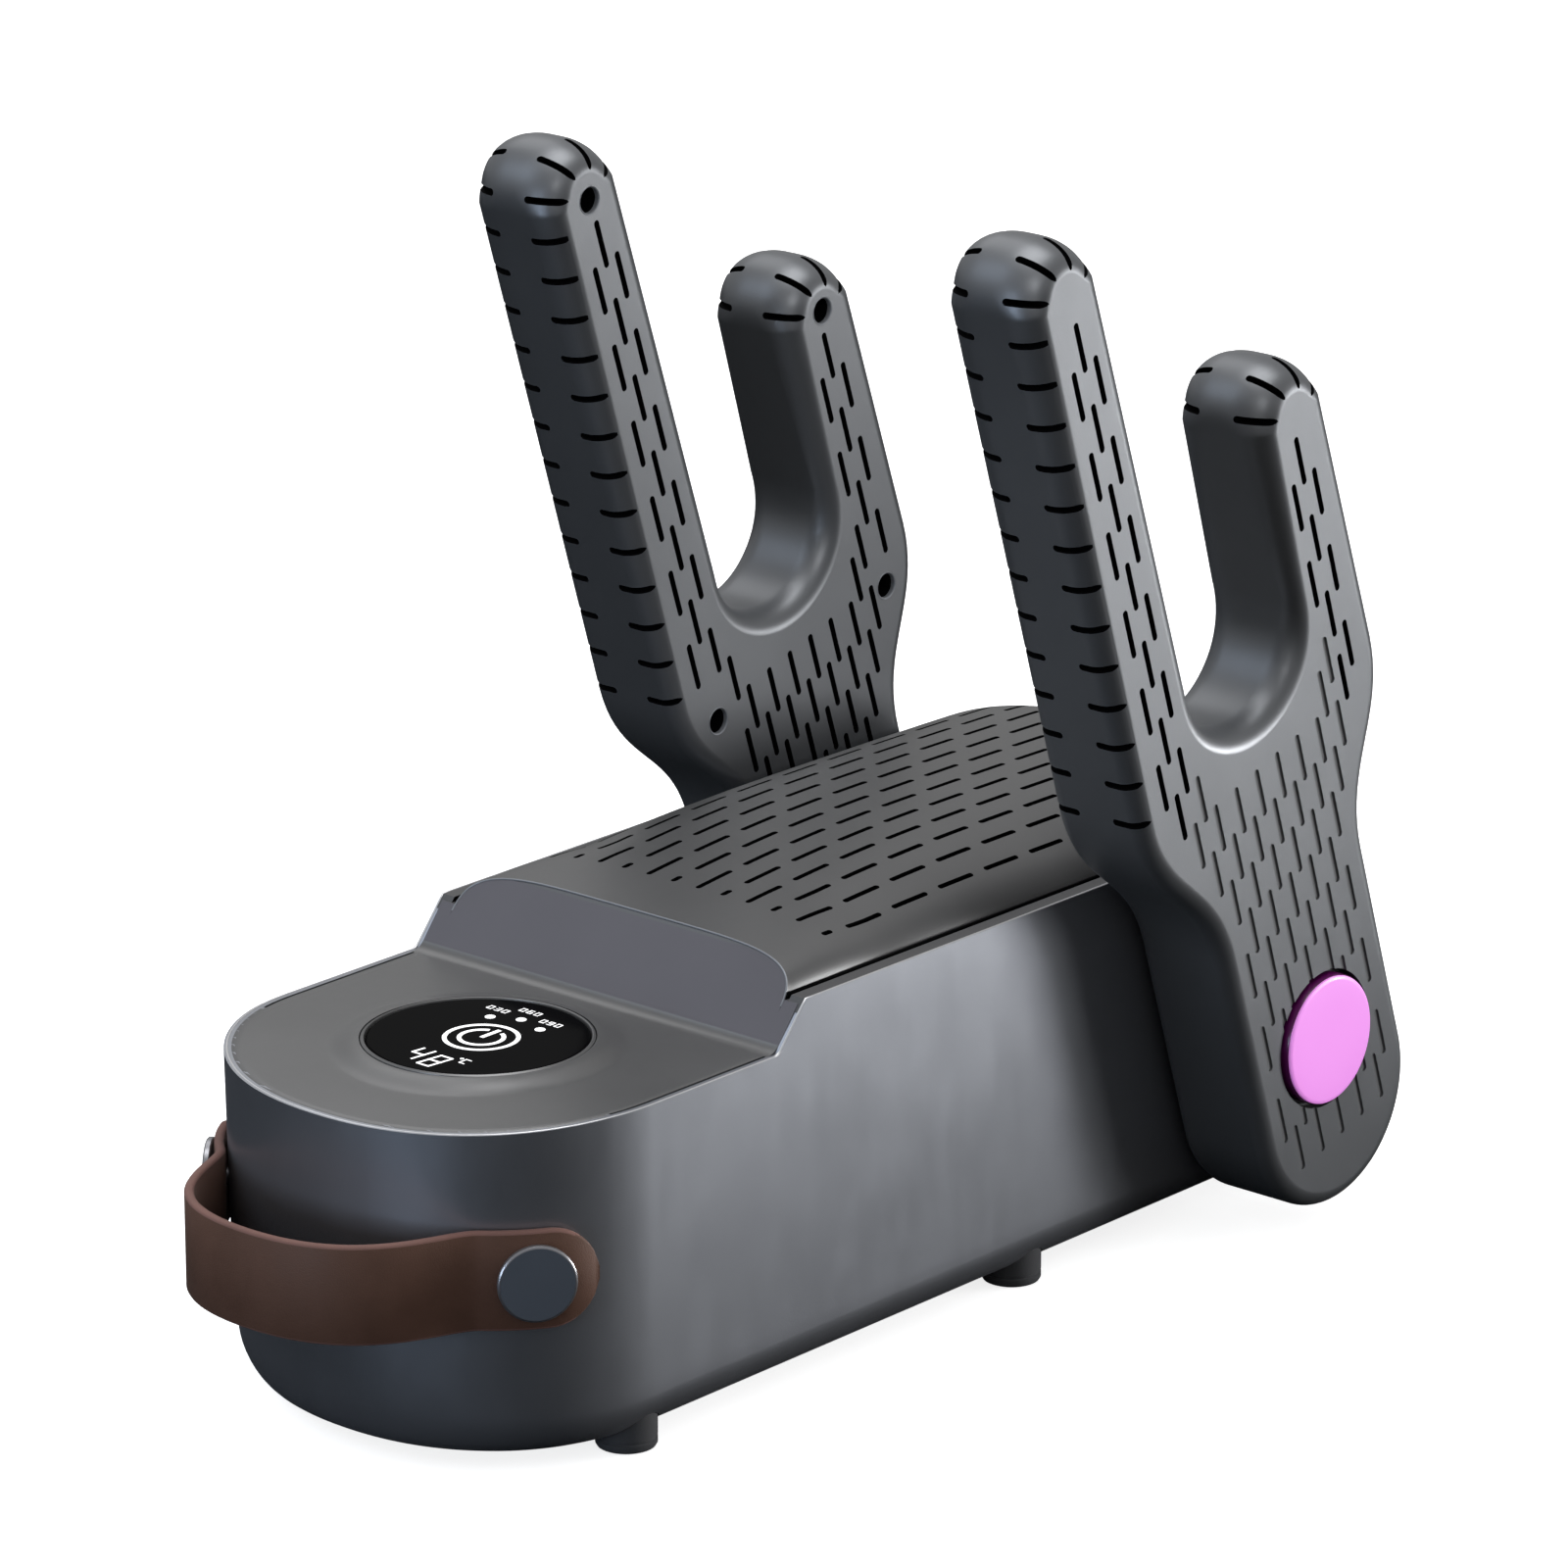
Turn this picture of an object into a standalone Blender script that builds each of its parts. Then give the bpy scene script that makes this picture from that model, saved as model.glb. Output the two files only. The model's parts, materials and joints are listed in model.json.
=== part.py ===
"""Boot dryer: a heated blower whose two forked air arms fold down along its sides.

Metres, +Z up. The dryer stands on the XY plane with its controls towards -Y, and the origin is
on that plane in the middle of the whole object.
"""
import math

import bmesh
import bpy
from mathutils import Matrix, Vector

# Body: its plan is straight at the sides, with a superellipse at each end.
HALF_WIDTH = 0.0597
FRONT_START, FRONT_DEPTH, FRONT_POWER = -0.091, 0.0529, 2.17
REAR_START, REAR_DEPTH, REAR_POWER = 0.1395, 0.0283, 2.8
BODY_BOTTOM, DECK_TOP, RAIL_TOP = 0.0045, 0.088, 0.0997
WALL, FLOOR_TOP, FILLET = 0.0025, 0.0105, 0.0107
FRONT_FILLET, FRONT_FILLET_HEIGHT, FRONT_DRAFT = 0.0057, 0.040, 0.0029
SLOPE_FOOT, RAMP_TOP, CREST_Y, CREST_Z = -0.0465, -0.0366, -0.0319, 0.1062
DROOP, DROOP_FROM, DROOP_LENGTH = 0.0019, -0.1035, 0.039  # the deck falls a little to the front
RIM, PANEL_THICK, GAP = 0.0012, 0.0025, 0.0003
SHELF_INSET, FRONT_SHELF, REAR_SHELF, SHELF_BOTTOM = 0.005, 0.0833, 0.0930, 0.078
# Top grille: a crown over a flat gutter just inside the rail
CROWN_BASE, CROWN_TOP, CROWN_PEAK, FALL_AHEAD, FALL_BEHIND = 0.092, 0.1132, 0.0605, 0.72, 0.15
CREST_POWER, CROWN_POWER, CREST_BLEND, REAR_CLOSE = 5.0, 2.9, 0.032, 5.0  # boxy at the crest, then rounder
CROWN_FRONT, CROWN_FOOT, CROWN_INSET, CROWN_WALL = -0.055, 0.084, 0.0057, 0.0022
GUTTER_TOP, GUTTER_THICK, NOTCH_TOP = 0.0955, 0.002, 0.0985
# Display
DISPLAY_Y, LENS_RADIUS, COLLAR_RADIUS, COLLAR_RISE = -0.0872, 0.0269, 0.0365, 0.0021
BEZEL_WALL, LENS_BOTTOM, BEZEL_BOTTOM, BOARD_BOTTOM, BOARD_THICK = 0.0012, 0.0873, 0.0830, 0.0805, 0.0016
# Base, feet and their screws
FOOT_X, FOOT_YS, FOOT_RADIUS, FOOT_HEIGHT = 0.0505, (-0.091, 0.0520), 0.0075, 0.012
POST_RADIUS, POST_TOP = 0.0105, 0.0152
PLATE_HALF_WIDTH, PLATE_FRONT, PLATE_REAR, PLATE_CORNER = 0.041, -0.100, 0.136, 0.0097
PLATE_THICK, PLATE_LIP, PLATE_SCREW_IN = 0.0022, 0.008, 0.006
VENTS, VENT_PITCH, VENT_HALF_WIDTH, VENT_HALF_LENGTH = 9, 0.006, 0.0013, 0.024
PLATE_SCREW_HEAD, PLATE_SCREW_SHANK, PLATE_SCREW_TOP = 0.0029, 0.0015, 0.0097
# Strap: a leather band riveted to the rounded front corners
STRAP_Z, STRAP_HEIGHT, STRAP_THICK, STRAP_FRONT = 0.0516, 0.0247, 0.0024, -0.1678
STRAP_LEAVES, STRAP_TIP, STRAP_SPREAD, STRAP_END_HALF = -0.1325, -0.1094, 0.0365, 0.004
RIVET_Y, RIVET_RADIUS, RIVET_THICK, RIVET_EDGE = -0.1221, 0.0095, 0.0017, 0.0005
STUD_RADIUS, STUD_LENGTH, WASHER_RADIUS, WASHER_LOW, WASHER_HIGH = 0.0022, 0.0068, 0.0052, -0.0058, -0.0048
# Arms: one fork each side, drawn in a frame with its origin on the pivot
PIVOT_Y, PIVOT_Z, LEAN = 0.1268, 0.0529, math.radians(18)
ARM_INNER, ARM_OUTER, ARM_EDGE, ARM_WALL = 0.062, 0.0905, 0.006, 0.0024
STEM_HALF, STEM_END, FORK_HALF, PRONG_RADIUS = 0.0298, -0.0172, 0.0485, 0.0136
GAP_RADIUS, GAP_CENTRE, LONG_END, SHORT_END = 0.0213, 0.117, 0.2343, 0.1626
SHOULDER_LOW, SHOULDER_HIGH, SHOULDER_EASE = 0.040, 0.092, 0.024
ARM_SCREWS = ((-0.0347, 0.2335), (0.0347, 0.1635), (-0.0347, 0.0805), (0.0347, 0.0805))
SCREW_HOLE, SCREW_HEAD, SCREW_SHANK, SCREW_BORE, POST = 0.0035, 0.0031, 0.0015, 0.0018, 0.0036
# Hinge: a hollow tube that carries the air from the body into the arm
TUBE_RADIUS, TUBE_BORE, TUBE_FLANGE, TUBE_START, TUBE_END = 0.015, 0.012, 0.0186, 0.0528, 0.0700
BUSH_RADIUS, BUSH_NECK, BUSH_START, BUSH_EDGE, HINGE_FIT = 0.022, 0.0174, 0.0566, 0.0004, 0.0002
CAP_RADIUS, CAP_RISE, CAP_HOLE, CAP_STUD, SEAT_LOW, SEAT_HIGH = 0.0169, 0.002, 0.0181, 0.006, 0.0855, 0.0876
# Blower, heater and duct, on the body's middle plane at the pivot's height
FAN_Y, FAN_RADIUS, FAN_LOW, FAN_HIGH, FAN_WALL, FAN_EYE = 0.006, 0.040, 0.0349, 0.0709, 0.002, 0.024
IMPELLER_RADIUS, IMPELLER_HUB, IMPELLER_LOW, IMPELLER_HIGH = 0.034, 0.013, 0.0394, 0.0469
BLADES, MOTOR_RADIUS, MOTOR_NECK, MOTOR_LOW, SHAFT_RADIUS, SHAFT_FIT = 12, 0.012, 0.0086, 0.0489, 0.002, 0.00008
DUCT_HALF_WIDTH, DUCT_HALF_HEIGHT, HEATER_FRONT, HEATER_REAR = 0.036, 0.016, 0.062, 0.086
CELLS, CELL_PITCH, CELL_HALF_WIDTH, CELL_HALF_HEIGHT, CELL_RISE = 9, 0.0072, 0.0024, 0.0052, 0.0068
HEATER_WALL, HEATER_MARGIN, DUCT_RADIUS, DUCT_END = 0.0018, 0.003, 0.020, 0.052
# Power inlet and board
INLET_Z, INLET_HALF_WIDTH, INLET_HALF_HEIGHT, INLET_LENGTH = 0.034, 0.0115, 0.0065, 0.022
INLET_WALL, SOCKET_DEPTH, PIN_X, PIN_RADIUS, PIN_LENGTH = 0.0018, 0.014, 0.006, 0.0012, 0.0105
BOARD_HALF_WIDTH, BOARD_FRONT, BOARD_REAR, BOARD_Z = 0.036, -0.130, -0.042, 0.050

REACH, ABOVE = 0.25, 0.13  # how far cutters run past the part
ROUND = 24

FINISHES = {  # colour, roughness, metallic
    "body_plastic": ((0.13, 0.14, 0.16), 0.42, 0.35),
    "deck_plastic": ((0.15, 0.15, 0.155), 0.48, 0.30),
    "grille_plastic": ((0.14, 0.14, 0.14), 0.45, 0.30),
    "arm_plastic": ((0.075, 0.085, 0.10), 0.50, 0.20),
    "pink_cap": ((0.85, 0.30, 0.85), 0.30, 0.0),
    "black_plastic": ((0.02, 0.02, 0.022), 0.55, 0.0),
    "display_glass": ((0.005, 0.005, 0.006), 0.05, 0.0),
    "strap_leather": ((0.075, 0.035, 0.026), 0.60, 0.0),
    "rivet_metal": ((0.08, 0.09, 0.11), 0.35, 0.8),
    "foot_rubber": ((0.03, 0.03, 0.035), 0.70, 0.0),
    "steel": ((0.55, 0.55, 0.56), 0.35, 0.9),
    "circuit_board": ((0.02, 0.12, 0.05), 0.55, 0.0),
    "heater_ceramic": ((0.75, 0.72, 0.66), 0.80, 0.0),
}


# ---------------------------------------------------------------- solids as (points, faces)

def loft(rings, wrap=False):
    """Skin over rings of equal length: capped at both ends or, with wrap, joined end to start."""
    count, steps = len(rings[0]), len(rings)
    points = [Vector(point) for ring in rings for point in ring]
    faces = []
    for step in range(steps if wrap else steps - 1):
        low, high = step * count, (step + 1) % steps * count
        for i in range(count):
            j = (i + 1) % count
            faces.append((low + i, low + j, high + j, high + i))
    if not wrap:
        faces.append(tuple(range(count)))
        faces.append(tuple(range(len(points) - count, len(points))))
    return points, faces


def prism(outline, low, high):
    return loft([[(x, y, z) for x, y in outline] for z in (low, high)])


def circle(radius, z, steps=ROUND):
    turn = 2 * math.pi / steps
    return [(radius * math.cos(i * turn), radius * math.sin(i * turn), z) for i in range(steps)]


def turned(profile, steps=ROUND):
    """Solid of revolution about Z, from (radius, z) points that run from one end to the other."""
    return loft([circle(radius, z, steps) for radius, z in profile])


def rod(radius, low, high, steps=ROUND):
    return turned([(radius, low), (radius, high)], steps)


def turned_ring(profile, steps=ROUND):
    """The same for a closed profile that stays off the axis."""
    return loft([circle(radius, z, steps) for radius, z in profile], wrap=True)


def block(low, high):
    (x0, y0, z0), (x1, y1, z1) = low, high
    return prism([(x0, y0), (x1, y0), (x1, y1), (x0, y1)], z0, z1)


def moved(solid, matrix):
    return [matrix @ point for point in solid[0]], solid[1]


def joined(*solids):
    points, faces = [], []
    for more_points, more_faces in solids:
        faces += [tuple(i + len(points) for i in face) for face in more_faces]
        points += more_points
    return points, faces


def at(x, y, z=0.0):
    return Matrix.Translation((x, y, z))


def copies(solid, places):
    """The solid again at each (x, y) place on the ground plane."""
    return joined(*[moved(solid, at(x, y)) for x, y in places])


def along_x(side, x=0.0):
    """Turns +Z outwards, towards the side's own X direction."""
    return at(side * x, 0) @ Matrix.Rotation(side * math.pi / 2, 4, "Y")


# ---------------------------------------------------------------- objects

def finish(name):
    made = bpy.data.materials.get(name)
    if made:
        return made
    colour, roughness, metallic = FINISHES[name]
    made = bpy.data.materials.new(name)
    made.use_nodes = True
    shader = made.node_tree.nodes["Principled BSDF"]
    shader.inputs["Base Color"].default_value = (*colour, 1.0)
    shader.inputs["Roughness"].default_value = roughness
    shader.inputs["Metallic"].default_value = metallic
    made.diffuse_color = (*colour, 1.0)
    return made


def make(name, solid, finish_name=None, parent=None, smooth=True):
    mesh = bpy.data.meshes.new(name)
    mesh.from_pydata(solid[0], [], solid[1])
    work = bmesh.new()
    work.from_mesh(mesh)
    bmesh.ops.recalc_face_normals(work, faces=work.faces)
    work.to_mesh(mesh)
    work.free()
    if smooth:
        mesh.shade_smooth()
        mesh.set_sharp_from_angle(angle=math.radians(35))
    obj = bpy.data.objects.new(name, mesh)
    bpy.context.scene.collection.objects.link(obj)
    obj.parent = parent
    if finish_name:
        mesh.materials.append(finish(finish_name))
    return obj


def carve(obj, solid, operation="DIFFERENCE"):
    """Boolean of obj with a hidden helper made from solid, in obj's own frame."""
    helper = make(f"{obj.name}_tool{len(obj.modifiers)}", solid, parent=obj.parent, smooth=False)
    helper.hide_render = True
    helper.display_type = "WIRE"
    step = obj.modifiers.new(f"{operation.lower()}_{len(obj.modifiers)}", "BOOLEAN")
    step.operation = operation
    step.solver = "EXACT"
    step.object = helper
    return helper


# ---------------------------------------------------------------- outlines

def plan_half_width(y, inset=0.0):
    if y < FRONT_START:
        start, depth, power = FRONT_START, FRONT_DEPTH - inset, FRONT_POWER
    else:
        start, depth, power = REAR_START, REAR_DEPTH - inset, REAR_POWER
    past = (start - y) / depth if y < start and y < FRONT_START else max(0.0, (y - start) / depth)
    return (HALF_WIDTH - inset) * max(0.0, 1 - past ** power) ** (1 / power)


def end_arc(half_width, depth, start, power, direction, steps):
    """Superellipse end from +X round to -X."""
    arc = []
    for i in range(steps + 1):
        angle = math.pi * i / steps
        c, s = math.cos(angle), max(0.0, math.sin(angle))
        x = half_width * math.copysign(abs(c) ** (2 / power), c)
        arc.append((x, start + direction * depth * s ** (2 / power)))
    return arc


def plan(inset=0.0, front_inset=None, steps=16):
    """Body outline, inset from the widest one."""
    front = FRONT_DEPTH - (inset if front_inset is None else front_inset)
    ahead = end_arc(HALF_WIDTH - inset, front, FRONT_START, FRONT_POWER, -1, steps)
    behind = end_arc(HALF_WIDTH - inset, REAR_DEPTH - inset, REAR_START, REAR_POWER, 1, steps - 4)
    return ahead + behind[::-1]


def quarter(depth_across, depth_up, height):
    """How far a fillet stands in at a height above its foot."""
    rest = max(0.0, 1 - height / depth_up)
    return depth_across * (1 - math.sqrt(1 - rest * rest))


def body_ring(z, inset=0.0):
    """Level outline of the body's skin, which is filleted at the foot and drafted at the front."""
    h = z - BODY_BOTTOM
    side = quarter(FILLET, FILLET, h) + inset
    draft = FRONT_DRAFT * max(0.0, 1 - h / (DECK_TOP - BODY_BOTTOM))
    front = quarter(FRONT_FILLET, FRONT_FILLET_HEIGHT, h) + draft + inset
    return [(x, y, z) for x, y in plan(side, front)]


def body_skin():
    heights = (0, 0.0003, 0.0011, 0.0026, 0.005, 0.0085, 0.014, 0.023, 0.040, 0.082, 0.100)
    return loft([body_ring(BODY_BOTTOM + h) for h in heights])


def body_cavity():
    """Inside of the shell, narrower at the shelf that carries the deck and the grille."""
    low = SHELF_BOTTOM - (SHELF_INSET - WALL)
    rings = [body_ring(z, WALL) for z in (FLOOR_TOP, 0.014, 0.020, 0.030, 0.0445, low)]
    rings += [body_ring(z, SHELF_INSET) for z in (SHELF_BOTTOM, REAR_SHELF)]
    rings += [body_ring(z, WALL) for z in (REAR_SHELF, ABOVE)]
    return loft(rings)


def rounded_box(half_width, front, rear, radius, steps=4):
    outline = []
    corners = ((half_width, rear, 0), (-half_width, rear, 90), (-half_width, front, 180),
               (half_width, front, 270))
    for x, y, first in corners:
        cx, cy = x - math.copysign(radius, x), y - math.copysign(radius, y - (front + rear) / 2)
        for i in range(steps + 1):
            angle = math.radians(first + 90 * i / steps)
            outline.append((cx + radius * math.cos(angle), cy + radius * math.sin(angle)))
    return outline


# ---------------------------------------------------------------- body

def across(profile, half_width=REACH):
    """Prism of a (y, z) profile, running along X."""
    return loft([[(x, y, z) for y, z in profile] for x in (-half_width, half_width)])


def deck_line():
    """Side view of the deck's top, from ahead of the body back to the foot of the slope."""
    line = []
    for y in (-REACH, -0.146, -0.138, -0.130, -0.120, -0.112, DROOP_FROM):
        past = max(0.0, DROOP_FROM - max(y, -0.160))
        line.append((y, DECK_TOP - DROOP * (past / DROOP_LENGTH) ** 1.5))
    return line + [(SLOPE_FOOT, DECK_TOP)]


def rivet_matrix(side):
    """At a rivet's centre on the wall, with +Z pointing out of the wall."""
    x = plan_half_width(RIVET_Y)
    past = (FRONT_START - RIVET_Y) / FRONT_DEPTH
    sideways = (x / HALF_WIDTH) ** (FRONT_POWER - 1) / HALF_WIDTH
    forwards = past ** (FRONT_POWER - 1) / FRONT_DEPTH
    normal = Vector((side * sideways, -forwards, 0)).normalized()
    return at(side * x, RIVET_Y, STRAP_Z) @ normal.to_track_quat("Z", "Y").to_matrix().to_4x4()


def foot_places():
    return [(side * FOOT_X, y) for y in FOOT_YS for side in (1, -1)]


def plate_screw_places():
    x, front, rear = PLATE_HALF_WIDTH - PLATE_SCREW_IN, PLATE_FRONT + PLATE_LIP, PLATE_REAR - PLATE_LIP
    return [(side * x, y) for y in (front, rear) for side in (1, -1)]


def front_recess(inset, rear):
    """Plan of the front part of the body, closed by a straight edge at rear."""
    outline = [(x, y) for x, y in plan(inset, inset) if y < 0]
    return outline + [(-HALF_WIDTH + inset, rear), (HALF_WIDTH - inset, rear)]


def shell_holes():
    hinge = at(0, PIVOT_Y, PIVOT_Z)
    inlet_x, inlet_z = INLET_HALF_WIDTH + GAP, INLET_HALF_HEIGHT + GAP
    holes = [copies(rod(FOOT_RADIUS + GAP, -FOOT_HEIGHT, FOOT_HEIGHT + GAP, 20), foot_places())]
    holes.append(copies(rod(PLATE_SCREW_SHANK + GAP, 0, PLATE_SCREW_TOP + GAP, 10), plate_screw_places()))
    for side in (1, -1):
        holes.append(moved(rod(BUSH_NECK + GAP, 0.050, 0.070), hinge @ along_x(side)))
        holes.append(moved(rod(STUD_RADIUS + GAP, -0.01, 0.01, 12), rivet_matrix(side)))
    holes.append(block((-inlet_x, 0.150, INLET_Z - inlet_z), (inlet_x, REACH, INLET_Z + inlet_z)))
    return joined(*holes)


def make_body_shell():
    shell = make("body_shell", body_skin(), "body_plastic")
    cavity = carve(shell, body_cavity())
    carve(cavity, copies(rod(POST_RADIUS, 0, POST_TOP, 16), foot_places()))
    over_top = [(RAMP_TOP, RAIL_TOP), (REACH, RAIL_TOP), (REACH, ABOVE), (-REACH, ABOVE)]
    carve(shell, across(deck_line() + over_top))
    carve(shell, prism(front_recess(RIM, CREST_Y + GAP), FRONT_SHELF, ABOVE))
    lip = rounded_box(PLATE_HALF_WIDTH - PLATE_LIP, PLATE_FRONT + 2 * PLATE_LIP, PLATE_REAR - 2 * PLATE_LIP,
                      PLATE_CORNER)
    carve(shell, prism(lip, BODY_BOTTOM + GAP, FLOOR_TOP + GAP))
    seat = rounded_box(PLATE_HALF_WIDTH + GAP, PLATE_FRONT - GAP, PLATE_REAR + GAP, PLATE_CORNER + GAP)
    carve(shell, prism(seat, 0, BODY_BOTTOM + PLATE_THICK + GAP))
    carve(shell, shell_holes())


def crown_height(y):
    """Height of the crown's middle over its base."""
    fall = FALL_AHEAD if y < CROWN_PEAK else FALL_BEHIND
    return CROWN_TOP - CROWN_BASE - fall * (y - CROWN_PEAK) ** 2


def crown_power(y):
    blend = min(1.0, max(0.0, (y - CREST_Y) / CREST_BLEND))
    return CREST_POWER + (CROWN_POWER - CREST_POWER) * blend


def arch(half_width, height, power):
    """Superellipse arch over the crown's base, as (x, z) from +X to -X."""
    curve = []
    for part in (1, 0.996, 0.98, 0.95, 0.905, 0.84, 0.75, 0.62, 0.45, 0.23, 0):
        rise = height * (1 - part ** power) ** (1 / power)
        curve.append((half_width * part, CROWN_BASE + rise))
    return curve + [(-x, z) for x, z in curve[-2::-1]]


def crown_rows(inset):
    """Cross-sections of the crown along Y, shrinking over its rounded rear end."""
    depth = REAR_DEPTH - CROWN_INSET - inset
    ys = [CROWN_FRONT, CREST_Y]
    ys += [CREST_Y + (REAR_START - CREST_Y) * i / 10 for i in range(1, 11)]
    ys += [REAR_START + depth * part for part in (0.35, 0.58, 0.76, 0.88, 0.955, 0.99)]
    rows = []
    for y in ys:
        past = max(0.0, (y - REAR_START) / depth)
        half = plan_half_width(y, CROWN_INSET + inset) if past else HALF_WIDTH - CROWN_INSET - inset
        height = (crown_height(y) - inset) * (1 - past ** REAR_CLOSE) ** (1 / REAR_CLOSE)
        row = [(half, CROWN_FOOT)] + arch(half, height, crown_power(y)) + [(-half, CROWN_FOOT)]
        rows.append([(x, y, z) for x, z in row])
    return rows


def make_top_grille():
    grille = make("top_grille", loft(crown_rows(0.0)), "grille_plastic")
    gutter = prism(plan(WALL + GAP, WALL + GAP), GUTTER_TOP - GUTTER_THICK, GUTTER_TOP)
    carve(grille, gutter, "UNION")
    carve(grille, loft(crown_rows(CROWN_WALL)))
    carve(grille, block((-REACH, -REACH, 0), (REACH, CREST_Y + GAP, ABOVE)))
    carve(grille, block((-REACH, -REACH, 0), (REACH, REACH, GUTTER_TOP - GUTTER_THICK)))


def deck_section():
    """Side view of the deck and of the panel that slopes up behind it."""
    rise, run = CREST_Z - DECK_TOP, CREST_Y - SLOPE_FOOT
    back = PANEL_THICK * math.hypot(rise, run) / rise
    top = CREST_Z + rise / 2
    low = FRONT_SHELF + GAP
    bend = SLOPE_FOOT + back - (DECK_TOP - low) * run / rise
    panel = [(CREST_Y + run / 2 + back, top), (CREST_Y + run / 2, top)]
    return [(-REACH, low), (bend, low)] + panel + deck_line()[::-1]


def deck_front_view():
    """Front view that trims the sloping panel: the crown's arch between two notches."""
    half = HALF_WIDTH - CROWN_INSET
    outline = [(REACH, 0.0), (REACH, NOTCH_TOP), (half, NOTCH_TOP)]
    outline += arch(half, crown_height(CREST_Y), CREST_POWER)[1:-1]
    return outline + [(-half, NOTCH_TOP), (-REACH, NOTCH_TOP), (-REACH, 0.0)]


def make_control_deck():
    """Flat control deck, its raised collar and the sloping panel behind it, in one moulding."""
    deck = make("control_deck", across(deck_section()), "deck_plastic")
    carve(deck, prism(front_recess(RIM + GAP, CREST_Y), 0, ABOVE), "INTERSECT")
    carve(deck, loft([[(x, y, z) for x, z in deck_front_view()] for y in (-REACH, REACH)]), "INTERSECT")
    bore, low = LENS_RADIUS + BEZEL_WALL + GAP, DECK_TOP - 0.002
    spread = COLLAR_RADIUS - bore
    flare = [(bore + spread * part, DECK_TOP + COLLAR_RISE * up)
             for part, up in ((1, 0), (0.75, 0.1), (0.5, 0.35), (0.28, 0.7), (0, 0.9))]
    centre = at(0, DISPLAY_Y)
    carve(deck, moved(turned_ring([(bore, low), (COLLAR_RADIUS, low)] + flare, 40), centre), "UNION")
    carve(deck, moved(rod(bore, 0, ABOVE, 40), centre))


def make_display():
    """Glass disc held in a thin ring, over its board."""
    centre, top = at(0, DISPLAY_Y), DECK_TOP + COLLAR_RISE
    hole, outside, ledge = LENS_RADIUS + GAP, LENS_RADIUS + BEZEL_WALL, LENS_RADIUS - 0.002
    bezel = [(hole, top - 0.0001), (outside - GAP, top), (outside, top - GAP), (outside, BEZEL_BOTTOM),
             (ledge, BEZEL_BOTTOM), (ledge, LENS_BOTTOM - GAP), (hole, LENS_BOTTOM - GAP)]
    make("display_bezel", moved(turned_ring(bezel, 36), centre), "body_plastic")
    lens = [(LENS_RADIUS, LENS_BOTTOM), (LENS_RADIUS, top - 0.0004), (LENS_RADIUS - 0.0004, top - 0.0001)]
    make("display_lens", moved(turned(lens, 36), centre), "display_glass")
    board = rod(LENS_RADIUS - 0.0025, BOARD_BOTTOM, BOARD_BOTTOM + BOARD_THICK)
    make("display_board", moved(board, centre), "circuit_board")


def make_base():
    low = BODY_BOTTOM
    outline = rounded_box(PLATE_HALF_WIDTH, PLATE_FRONT, PLATE_REAR, PLATE_CORNER)
    plate = make("base_plate", prism(outline, low, low + PLATE_THICK), "body_plastic", smooth=False)
    vents = []
    for i in range(VENTS):
        y = FAN_Y + (i - (VENTS - 1) / 2) * VENT_PITCH
        vents.append(block((-VENT_HALF_LENGTH, y - VENT_HALF_WIDTH, 0),
                           (VENT_HALF_LENGTH, y + VENT_HALF_WIDTH, FLOOR_TOP)))
    head, shank = PLATE_SCREW_HEAD, PLATE_SCREW_SHANK
    sink = [(head + GAP, 0), (head + GAP, low + 0.0013), (shank + GAP, low + 0.0013),
            (shank + GAP, FLOOR_TOP)]
    carve(plate, joined(*vents, copies(turned(sink, 12), plate_screw_places())))
    screw = [(head, low + 0.0002), (head, low + 0.0010), (shank, low + 0.0010), (shank, PLATE_SCREW_TOP)]
    foot = [(FOOT_RADIUS - 0.0006, 0.0), (FOOT_RADIUS, 0.0006), (FOOT_RADIUS, FOOT_HEIGHT)]
    names = ("front_right", "front_left", "rear_right", "rear_left")
    for name, screw_place, foot_place in zip(names, plate_screw_places(), foot_places()):
        make(f"base_screw_{name}", moved(turned(screw, 8), at(*screw_place)), "steel")
        make(f"foot_{name}", moved(turned(foot, 20), at(*foot_place)), "foot_rubber")


# ---------------------------------------------------------------- strap

def bezier(a, b, c, d, steps):
    for i in range(1, steps + 1):
        t = i / steps
        s = 1 - t
        yield tuple(s**3 * p + 3 * s * s * t * q + 3 * s * t * t * r + t**3 * w
                    for p, q, r, w in zip(a, b, c, d))


def strap_line():
    """Middle line of the band in plan, from the right tip round to the left one."""
    out = GAP + STRAP_THICK / 2
    front = STRAP_FRONT + STRAP_THICK / 2
    right = []
    for i in range(9):
        y = STRAP_TIP + (STRAP_LEAVES - STRAP_TIP) * i / 8
        right.append((plan_half_width(y, -out), y))
    x, y = right[-1]
    right += list(bezier((x, y), (x - 0.0065, y - 0.006), (STRAP_SPREAD, front), (0.0, front), 10))
    return right + [(-x, y) for x, y in right[-2::-1]]


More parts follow.
